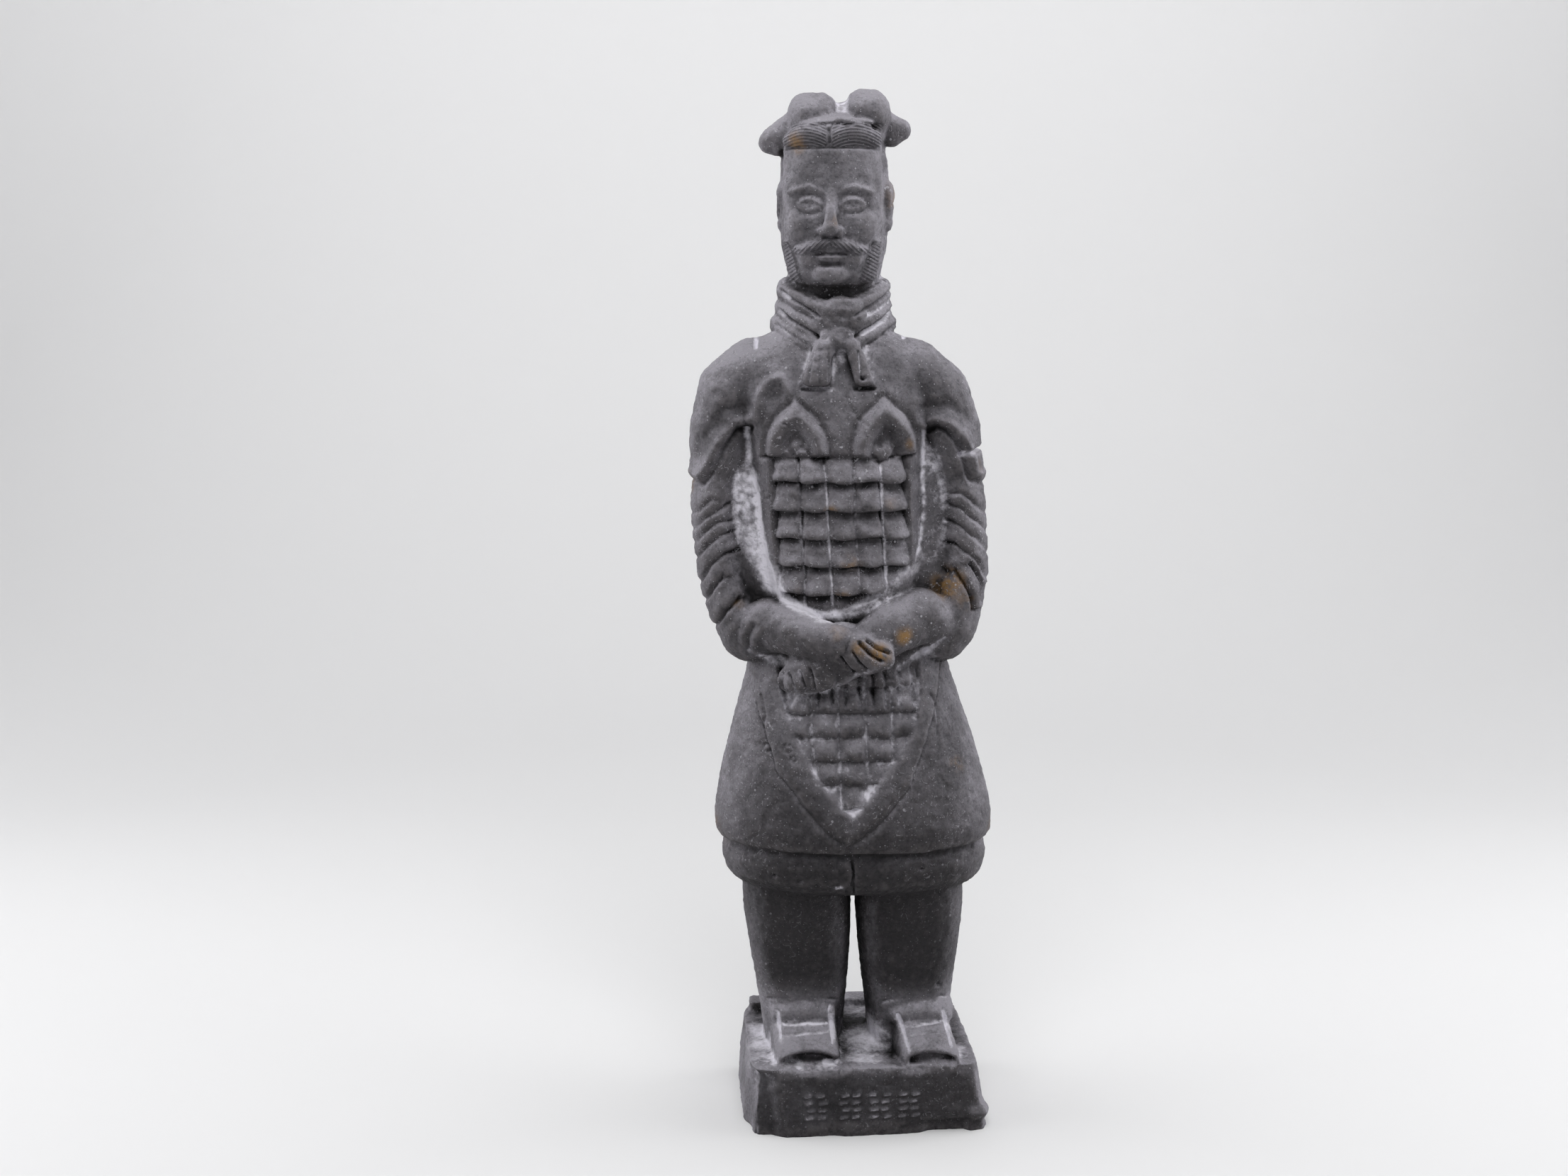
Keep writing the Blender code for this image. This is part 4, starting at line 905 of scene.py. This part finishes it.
def points_and_normals(mesh):
    """The places and the directions of a mesh's points, as two arrays."""
    arrays = []
    for source, name in ((mesh.vertices, "co"), (mesh.vertex_normals, "vector")):
        flat = np.empty(len(mesh.vertices) * 3, np.float32)
        source.foreach_get(name, flat)
        arrays.append(flat.reshape(-1, 3).astype(float))
    return arrays


def carved(mesh, casting, lean):
    """The fused clay after carving, leaning and swaying as the casting does."""
    points, normals = points_and_normals(mesh)
    s = Surface(points, normals, casting.unit, casting.soles)
    depth = carve_armour(s) + carve_apron(s) + carve_sleeves(s) + carve_hands(s) + carve_head(s)
    depth += carve_scarf(s) + carve_shoes(s) + carve_plinth(s) + carve_marks(s)
    depth += weather(s)
    points += normals * (depth * casting.unit)[:, None]
    sway = along_line(SWAY, s.h) * casting.unit
    points[:, 0] += sway - lean * points[:, 2]
    mesh.vertices.foreach_set("co", points.astype(np.float32).ravel())
    mesh.update()
    return mesh


def cut_flat(mesh):
    """Slice the casting off level at z = 0 and close it there."""
    bm = bmesh.new()
    bm.from_mesh(mesh)
    cut = bmesh.ops.bisect_plane(
        bm, geom=bm.verts[:] + bm.edges[:] + bm.faces[:], dist=1e-5, plane_co=(0, 0, 0),
        plane_no=(0, 0, 1), clear_inner=True)
    rim = [part for part in cut["geom_cut"] if isinstance(part, bmesh.types.BMEdge)]
    bmesh.ops.contextual_create(bm, geom=rim)
    bmesh.ops.triangulate(bm, faces=bm.faces)
    bmesh.ops.recalc_face_normals(bm, faces=bm.faces)
    bm.to_mesh(mesh)
    bm.free()
    return mesh


def shelter(points, normals, mesh, reach):
    """How much of the sky over each point is closed off by clay nearby."""
    tree = BVHTree.FromPolygons([vert.co for vert in mesh.vertices], [face.vertices for face in mesh.polygons])
    golden = math.pi * (3 - math.sqrt(5))
    helper = np.where(np.abs(normals[:, 2:3]) < 0.9, [[0, 0, 1]], [[1, 0, 0]])
    side = np.cross(normals, helper)
    side /= np.linalg.norm(side, axis=1)[:, None]
    up = np.cross(normals, side)
    blocked = np.zeros(len(points))
    clearance = 0.012
    starts = [Vector(point) for point in points + normals * reach * clearance]
    for ray in range(SKY_RAYS):
        tilt = math.sqrt((ray + 0.5) / SKY_RAYS)
        spin = ray * golden
        direction = (normals * math.sqrt(1 - tilt * tilt) + side * tilt * math.cos(spin) + up * tilt * math.sin(spin))
        for index, (start, heading) in enumerate(zip(starts, direction.tolist())):
            if tree.ray_cast(start, heading, reach)[0] is not None:
                blocked[index] += 1
    return blocked / SKY_RAYS


def relax(values, edges, steps):
    """Values averaged over neighbouring points, step by step."""
    count = len(values)
    degree = np.bincount(edges.ravel(), minlength=count).astype(float)[:, None]
    first, second = edges[:, 0], edges[:, 1]
    for _ in range(steps):
        total = np.stack([
            np.bincount(first, values[second, axis], count) + np.bincount(second, values[first, axis], count)
            for axis in range(values.shape[1])], axis=1)
        values = 0.5 * values + 0.5 * total / degree
    return values


def write_wear(mesh, casting, lean):
    """Write on each point how sheltered, how worn, how dusty and how rubbed it is."""
    points, normals = points_and_normals(mesh)
    edges = np.empty(len(mesh.edges) * 2, np.int32)
    mesh.edges.foreach_get("vertices", edges)
    edges = edges.reshape(-1, 2)
    unit = casting.unit
    near = relax(points, edges, FINE_STEPS)
    wide = relax(near, edges, BROAD_STEPS)
    fine = ((near - points) * normals).sum(1) / unit
    broad = ((wide - points) * normals).sum(1) / unit
    closed = relax(shelter(points, normals, mesh, SKY_REACH * unit)[:, None], edges, 2)[:, 0]
    h = (points[:, 2] - casting.soles) / unit
    x = (points[:, 0] + lean * points[:, 2]) / unit - along_line(SWAY, h)
    y = points[:, 1] / unit
    masks = {
        "hollow": np.clip(ramp(fine, 0.015, 0.16) * 0.6 + ramp(broad, 0.05, 0.9), 0, 1),
        "worn": np.clip(ramp(-fine, 0.02, 0.2) * 0.6 + ramp(-broad, 0.15, 1.1), 0, 1),
        "closed": closed,
    }
    dusted, rubbed = np.zeros(len(points)), np.zeros(len(points))
    facing = ramp(-normals[:, 1] + 0.6 * normals[:, 2], -0.3, 0.15)
    for reach, strength, line in STREAKS:
        laid = strength * (1 - ramp(to_polyline(x, h, line), reach * 0.1, reach * 1.6))
        dusted = np.maximum(dusted, laid * facing)
    dusted = np.maximum(dusted, 1.1 * strokes(x, h) * facing * ramp(-h, 4, 6))
    for mask, patches in ((dusted, DUST), (rubbed, RUBS)):
        for px, py, ph, reach, strength in patches:
            away = np.sqrt((x - px) ** 2 + (y - py) ** 2 + (h - ph) ** 2)
            mask[:] = np.maximum(mask, strength * (1 - ramp(away, reach * 0.1, reach * 1.3)))
    masks["dusted"], masks["rubbed"] = dusted, rubbed
    masks["strands"], masks["combed"] = combing(x, y, h)
    for name, values in masks.items():
        attribute = mesh.attributes.new(name, "FLOAT", "POINT")
        attribute.data.foreach_set("value", values.astype(np.float32))


class Wire:
    """One output socket, with arithmetic that adds its Math nodes."""

    def __init__(self, graph, socket):
        self.graph, self.socket = graph, socket

    def _math(self, operation, *values):
        return self.graph.node("ShaderNodeMath", {"operation": operation}, values)

    def __add__(self, other):
        return self._math("ADD", self, other)

    __radd__ = __add__

    def __sub__(self, other):
        return self._math("SUBTRACT", self, other)

    def __rsub__(self, other):
        return self._math("SUBTRACT", other, self)

    def __mul__(self, other):
        return self._math("MULTIPLY", self, other)

    __rmul__ = __mul__

    def clamp(self):
        return self.graph.node("ShaderNodeClamp", {}, (self,))

    def absolute(self):
        return self._math("ABSOLUTE", self)

    def wave(self):
        """A wave from -1 to 1 that comes round once for each whole number."""
        return self._math("COSINE", self * (2 * math.pi))

    def ramp(self, start, end):
        """A soft step from 0 at the start to 1 at the end."""
        return self.graph.node(
            "ShaderNodeMapRange", {"interpolation_type": "SMOOTHSTEP"},
            {"Value": self, "From Min": start, "From Max": end})


class Graph:
    """A material's nodes, added by type with their settings first and then their sockets."""

    # The Mix node's sockets when it mixes colours.
    FACTOR, LOW, HIGH, RESULT = 0, 6, 7, 2

    def __init__(self, material):
        material.use_nodes = True
        self.tree = material.node_tree
        self.shader = self.tree.nodes["Principled BSDF"]

    def node(self, kind, settings, values=(), output=0):
        node = self.tree.nodes.new(kind)
        for name, value in settings.items():
            setattr(node, name, value)
        pairs = values.items() if isinstance(values, dict) else enumerate(values)
        for key, value in pairs:
            self.feed(node.inputs[key], value)
        return Wire(self, node.outputs[output])

    def feed(self, socket, value):
        if isinstance(value, Wire):
            self.tree.links.new(value.socket, socket)
        else:
            socket.default_value = value

    def attribute(self, name):
        return self.node("ShaderNodeAttribute", {"attribute_name": name}, output="Fac")

    def noise(self, where, scale, detail=3.0, roughness=0.55):
        return self.node("ShaderNodeTexNoise", {}, {
            "Vector": where, "Scale": scale, "Detail": detail, "Roughness": roughness}, output="Fac")

    def mix(self, factor, low, high):
        """One colour laid over another by a factor."""
        values = {self.FACTOR: factor, self.LOW: low, self.HIGH: high}
        return self.node("ShaderNodeMix", {"data_type": "RGBA"}, values, self.RESULT)

    def finish(self, **values):
        for name, value in values.items():
            self.feed(self.shader.inputs[name.replace("_", " ").title()], value)


def opaque(colour):
    return (*colour, 1.0)


def fibres(graph, where, scale, width):
    """Short curved threads: thin contour lines of a noise, shown in scattered places."""
    field = graph.noise(where, scale, 1.0, 0.4)
    shown = graph.noise(where, scale * 1.7, 2.0, 0.5)
    return (1 - (field - 0.5).absolute().ramp(0, width)) * shown.ramp(0.58, 0.63)


def grit(graph, where, scale, share):
    """Scattered specks of uneven size: how strongly each one shows."""
    settings = {"Vector": where, "Scale": scale, "Randomness": 1.0}
    distance = graph.node("ShaderNodeTexVoronoi", {}, settings)
    seed = graph.node(
        "ShaderNodeSeparateColor", {}, (graph.node("ShaderNodeTexVoronoi", {}, settings, output="Color"),))
    size = seed.ramp(1 - share, 1.0) * 0.24 + 0.05
    return (size - distance).ramp(0, 0.07) * seed.ramp(1 - share, 1 - share * 0.7)


def clay_material(finish):
    """Dark fired clay: pale dust where it looks up, packed dust, brown rubs, grit and threads, with painted shade low
    on the figure and in closed hollows, painted light on faces that look sideways, on the upper body and on the head,
    and a painted highlight on the hair's strands.
    """
    material = bpy.data.materials.new("fired_clay")
    graph = Graph(material)
    where = graph.node("ShaderNodeTexCoord", {}, output="Object")
    normal = graph.node("ShaderNodeNewGeometry", {}, output="Normal")
    aside = graph.node("ShaderNodeSeparateXYZ", {}, (normal,), output="X")
    up = graph.node("ShaderNodeSeparateXYZ", {}, (normal,), output="Z")
    height = graph.node("ShaderNodeSeparateXYZ", {}, (where,), output="Z")
    hollow, worn, closed, dusted, rubbed, strands, combed = (
        graph.attribute(name) for name in ("hollow", "worn", "closed", "dusted", "rubbed", "strands", "combed"))

    broad = graph.noise(where, 30, 4)
    cloudy = graph.noise(where, 120, 5, 0.62)
    speckle = graph.noise(where, 1100, 3, 0.65)
    scuffed = graph.noise(where, 420, 4, 0.6)

    # Bands of height, in metres over the ground. Low on the figure, on the shins, under the skirt and on the block's
    # front, the clay is painted darker and its paler marks are dimmed: painted shade. Faces that look sideways are
    # spared, as painted light from the side panels.
    block = 1 - height.ramp(0.0185, 0.0215)
    shoes = height.ramp(0.020, 0.026) * (1 - height.ramp(0.038, 0.046))
    shins = height.ramp(0.041, 0.050) * (1 - height.ramp(0.072, 0.10))
    skirt = height.ramp(0.05, 0.07) * (1 - height.ramp(0.09, 0.16))
    sideways = aside.absolute().ramp(0.3, 0.95)
    low_painted_shade = shins + block * 0.75
    low_painted_shade = low_painted_shade + skirt * 0.4 * (1 - low_painted_shade)
    # lit is the painted light: low where the painted shade lies, kept up on faces that look sideways.
    lit = 1 - low_painted_shade * (1 - sideways * 0.7)
    pale = (broad.ramp(0.35, 0.7) * 0.5 + speckle.ramp(0.3, 0.65) * 0.4) * (lit * 0.7 + 0.3)
    colour = graph.mix(pale, opaque(finish.clay), opaque(finish.clay_pale))
    edges = (worn * 1.2 * scuffed.ramp(0.3, 0.6) * (lit * 0.6 + 0.4)).clamp()
    colour = graph.mix(edges, colour, opaque([c * 1.25 for c in finish.clay_pale]))

    looks_up = up.ramp(-0.14, 0.9)
    open_air = 1 - closed.ramp(0.12, 0.55) * 0.8
    # Pale dust settles on faces that look up. The same colour is also laid as painted light on faces that look
    # sideways, a little more on the upper body and on the head, and is held back as painted shade where lit is low
    # and in closed recesses through open_air. Over the shoes it is paler.
    dust_film_and_painted_light = (looks_up * 0.85 + height.ramp(0.10, 0.23) * 0.11 + sideways * (block * 0.5 + 0.42) + 0.03
            + height.ramp(0.268, 0.275) * 0.2 + shoes * 0.28) * (lit * 0.8 + 0.2)
    dust_film_and_painted_light = dust_film_and_painted_light * open_air * (cloudy.ramp(0.3, 0.7) * 0.5 + 0.6) * (speckle.ramp(0.25, 0.6) * 0.5 + 0.65)
    dust_film_and_painted_light = dust_film_and_painted_light * (broad.ramp(0.25, 0.7) * 0.5 + 0.7)
    colour = graph.mix((dust_film_and_painted_light + dusted * 0.22).clamp(), colour, opaque(finish.dust_film_and_painted_light))

    shade = (closed.ramp(0.3, 0.85) * 0.75 + hollow * closed.ramp(0.15, 0.5) * 0.8) * (1 - dusted.ramp(0.1, 0.6))
    shade = shade.clamp() * (1 - height.ramp(0.262, 0.272) * 0.5)
    colour = graph.mix(shade, colour, opaque([c * 0.4 for c in finish.clay]))

    sheltered = (closed.ramp(0.1, 0.42) + hollow * 0.8).clamp() * 0.6 + 0.4
    patchy = (cloudy - 0.5) * 1.2 + (scuffed - 0.5) * 1.3 + (speckle - 0.5) * 0.5
    lodged = hollow * (looks_up * 0.6 + 0.1) * open_air
    laid = dusted * sheltered + lodged * 0.5
    packed = (laid + patchy * 0.75).ramp(0.2, 1.15) * laid.ramp(0.06, 0.4)
    colour = graph.mix(packed * 0.92, colour, opaque(finish.dust))
    # Painted highlight: the hair's strands are painted paler along their raised crests.
    lines = strands.wave()
    colour = graph.mix((combed * lines.ramp(0.1, 1.0) * 0.28).clamp(), colour, opaque(finish.dust_film_and_painted_light))

    rub = (rubbed * (scuffed * 0.7 + cloudy * 0.6).ramp(0.5, 0.74) * (1 - hollow * 0.6)).clamp()
    colour = graph.mix(rub * 0.9, colour, opaque(finish.rub))

    specks = grit(graph, where, 1300, 0.26) * 0.8 + grit(graph, where, 620, 0.06) * broad.ramp(0.3, 0.6)
    threads = fibres(graph, where, 330, 0.03) + fibres(graph, where, 560, 0.05) * 0.8
    litter = ((specks + threads * broad.ramp(0.45, 0.6) * 0.9) * (1 - closed.ramp(0.5, 0.9))).clamp()
    # Specks and threads are dimmed where lit is low: painted shade.
    litter = litter * (height.ramp(0.0, 0.21) * 0.4 + 0.6) * (lit * 0.75 + 0.25)
    colour = graph.mix(litter * 0.75, colour, opaque(finish.litter))

    rough = finish.roughness + packed * 0.2 - rub * 0.15 - worn * 0.08 + (cloudy - 0.5) * 0.2
    relief = speckle * 0.6 + scuffed * 1.0 + cloudy * 0.8 + litter * 0.4
    bump = graph.node("ShaderNodeBump", {}, {"Strength": 0.9, "Distance": 0.0008, "Height": relief})
    bump = graph.node(
        "ShaderNodeBump", {}, {"Strength": 0.8, "Distance": 0.0003, "Height": combed * lines, "Normal": bump})
    graph.finish(base_color=colour, roughness=rough.clamp(), normal=bump)
    graph.shader.inputs["Specular IOR Level"].default_value = 0.14
    return material


class FIGURINE_OT_casting(Operator):
    """Model the whole casting, with its shoes and plinth, and give it its fired clay"""

    bl_idname = "figurine.casting"
    bl_label = "Clay casting"

    def execute(self, context):
        sizes, finish = context.scene.figure_sizes, context.scene.clay_finish
        casting = Casting(sizes)
        add_body(casting)
        add_scarf(casting)
        add_head(casting)
        add_cap_and_hair(casting)
        add_legs_and_shoes(casting)
        add_plinth(casting, sizes)
        fused = with_modifiers(
            casting.mesh(),
            ("REMESH", {"mode": "VOXEL", "voxel_size": sizes.grain * casting.unit}),
            ("SMOOTH", {"factor": 0.5, "iterations": sizes.smoothing}))
        fine = carved(fused, casting, sizes.lean)
        share = sizes.triangles / (2 * len(fine.polygons))
        mesh = cut_flat(with_modifiers(fine, ("DECIMATE", {"ratio": min(1, share)})))
        mesh.name = "clay_general"
        mesh.shade_smooth()
        write_wear(mesh, casting, sizes.lean)
        mesh.materials.clear()
        mesh.materials.append(clay_material(finish))
        piece = bpy.data.objects.new("clay_general", mesh)
        context.scene.collection.objects.link(piece)
        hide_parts(NODE)
        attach(piece, "root")
        return {"FINISHED"}


def add_light(name, size, place, target, power):
    light = bpy.data.lights.new(name, "AREA")
    light.shape = "RECTANGLE"
    light.size, light.size_y = size
    light.energy = power
    lamp = bpy.data.objects.new(name, light)
    lamp.location = place
    lamp.rotation_euler = (Vector(target) - Vector(place)).to_track_quat("-Z", "Y").to_euler()
    lamp.visible_camera = False
    bpy.context.scene.collection.objects.link(lamp)


class FIGURINE_OT_stage(Operator):
    """Lay the tent's sheet, hang its lights and set the camera"""

    bl_idname = "figurine.stage"
    bl_label = "Light tent"

    def execute(self, context):
        settings = context.scene.stage_settings
        bm = bmesh.new()
        back = settings.wall_distance
        level, wall_top, steps, around = 0.50, 1.6, 12, 96
        bend = back - level
        profile = [(0, 0)]
        for step in range(steps + 1):
            angle = math.pi / 2 * step / steps
            profile.append((back - bend + bend * math.sin(angle), bend - bend * math.cos(angle)))
        profile.append((back, wall_top))
        verts = [bm.verts.new((0, y, z)) for y, z in profile]
        edges = [bm.edges.new(pair) for pair in zip(verts, verts[1:])]
        bmesh.ops.spin(
            bm, geom=verts + edges, cent=(0, 0, 0), axis=(0, 0, 1), angle=2 * math.pi, steps=around, use_merge=True)
        bmesh.ops.remove_doubles(bm, verts=bm.verts, dist=1e-5)
        bmesh.ops.recalc_face_normals(bm, faces=bm.faces)
        mesh = bpy.data.meshes.new("tent_sheet")
        bm.to_mesh(mesh)
        bm.free()
        mesh.shade_smooth()
        material = bpy.data.materials.new("tent_sheet")
        graph = Graph(material)
        graph.finish(base_color=opaque(settings.floor_pale), roughness=0.9)
        mesh.materials.append(material)
        sheet = bpy.data.objects.new("tent_sheet", mesh)
        context.scene.collection.objects.link(sheet)

        chest = (0, 0, 0.17)
        for name, size, place, target, power in (
                ("top_light", (0.34, 0.26), (0.0, -0.32, 0.66), chest, settings.top),
                ("rear_light", (0.9, 0.4), (0.0, 0.16, 0.80), (0, 0.16, 0), settings.rear),
                ("left_panel", (0.5, 0.6), (-0.52, 0.04, 0.40), chest, settings.sides),
                ("right_panel", (0.5, 0.6), (0.52, 0.04, 0.40), chest, settings.sides * 1.1),
                ("wall_light", (0.8, 0.3), (0, 0.50, 0.62), (0, back, 0.50), settings.wall),
                ("front_light", (0.8, 0.3), (0, -0.50, 0.62), (0, -back, 0.50), settings.wall * 0.2)):
            add_light(name, size, place, target, power)

        world = bpy.data.worlds.new("tent")
        world.use_nodes = True
        background = world.node_tree.nodes["Background"]
        background.inputs["Color"].default_value = (0.93, 0.94, 1.0, 1)
        background.inputs["Strength"].default_value = 0.07
        context.scene.world = world
        context.scene.view_settings.view_transform = "Standard"

        camera = bpy.data.cameras.new("camera")
        camera.sensor_width, camera.lens = 36, 43.8
        camera.clip_start = 0.01
        seat = bpy.data.objects.new("camera", camera)
        seat.location = (-0.0248, -0.605, 0.281)
        seat.rotation_euler = (math.radians(80), 0, 0)
        context.scene.collection.objects.link(seat)
        context.scene.camera = seat
        return {"FINISHED"}


class FIGURINE_PT_panel(Panel):
    """The figure's sizes, its colours and the light tent"""

    bl_label = "Clay General"
    bl_idname = "FIGURINE_PT_panel"
    bl_space_type = "VIEW_3D"
    bl_region_type = "UI"
    bl_category = "Clay General"

    def draw(self, context):
        for group, operator in (
                (context.scene.figure_sizes, "figurine.casting"), (context.scene.clay_finish, None),
                (context.scene.stage_settings, "figurine.stage")):
            box = self.layout.box()
            for name in group.bl_rna.properties.keys():
                if name not in ("rna_type", "name"):
                    box.prop(group, name)
            if operator:
                box.operator(operator)


CLASSES = (
    FigureSizes, ClayFinish, StageSettings, FIGURINE_OT_casting, FIGURINE_OT_stage, FIGURINE_PT_panel)


def register():
    for cls in CLASSES:
        bpy.utils.register_class(cls)
    bpy.types.Scene.figure_sizes = PointerProperty(type=FigureSizes)
    bpy.types.Scene.clay_finish = PointerProperty(type=ClayFinish)
    bpy.types.Scene.stage_settings = PointerProperty(type=StageSettings)


def unregister():
    del bpy.types.Scene.figure_sizes
    del bpy.types.Scene.clay_finish
    del bpy.types.Scene.stage_settings
    for cls in reversed(CLASSES):
        bpy.utils.unregister_class(cls)


def main():
    register()
    bpy.ops.figurine.casting()
    bpy.ops.figurine.stage()


if __name__ == "__main__":
    main()
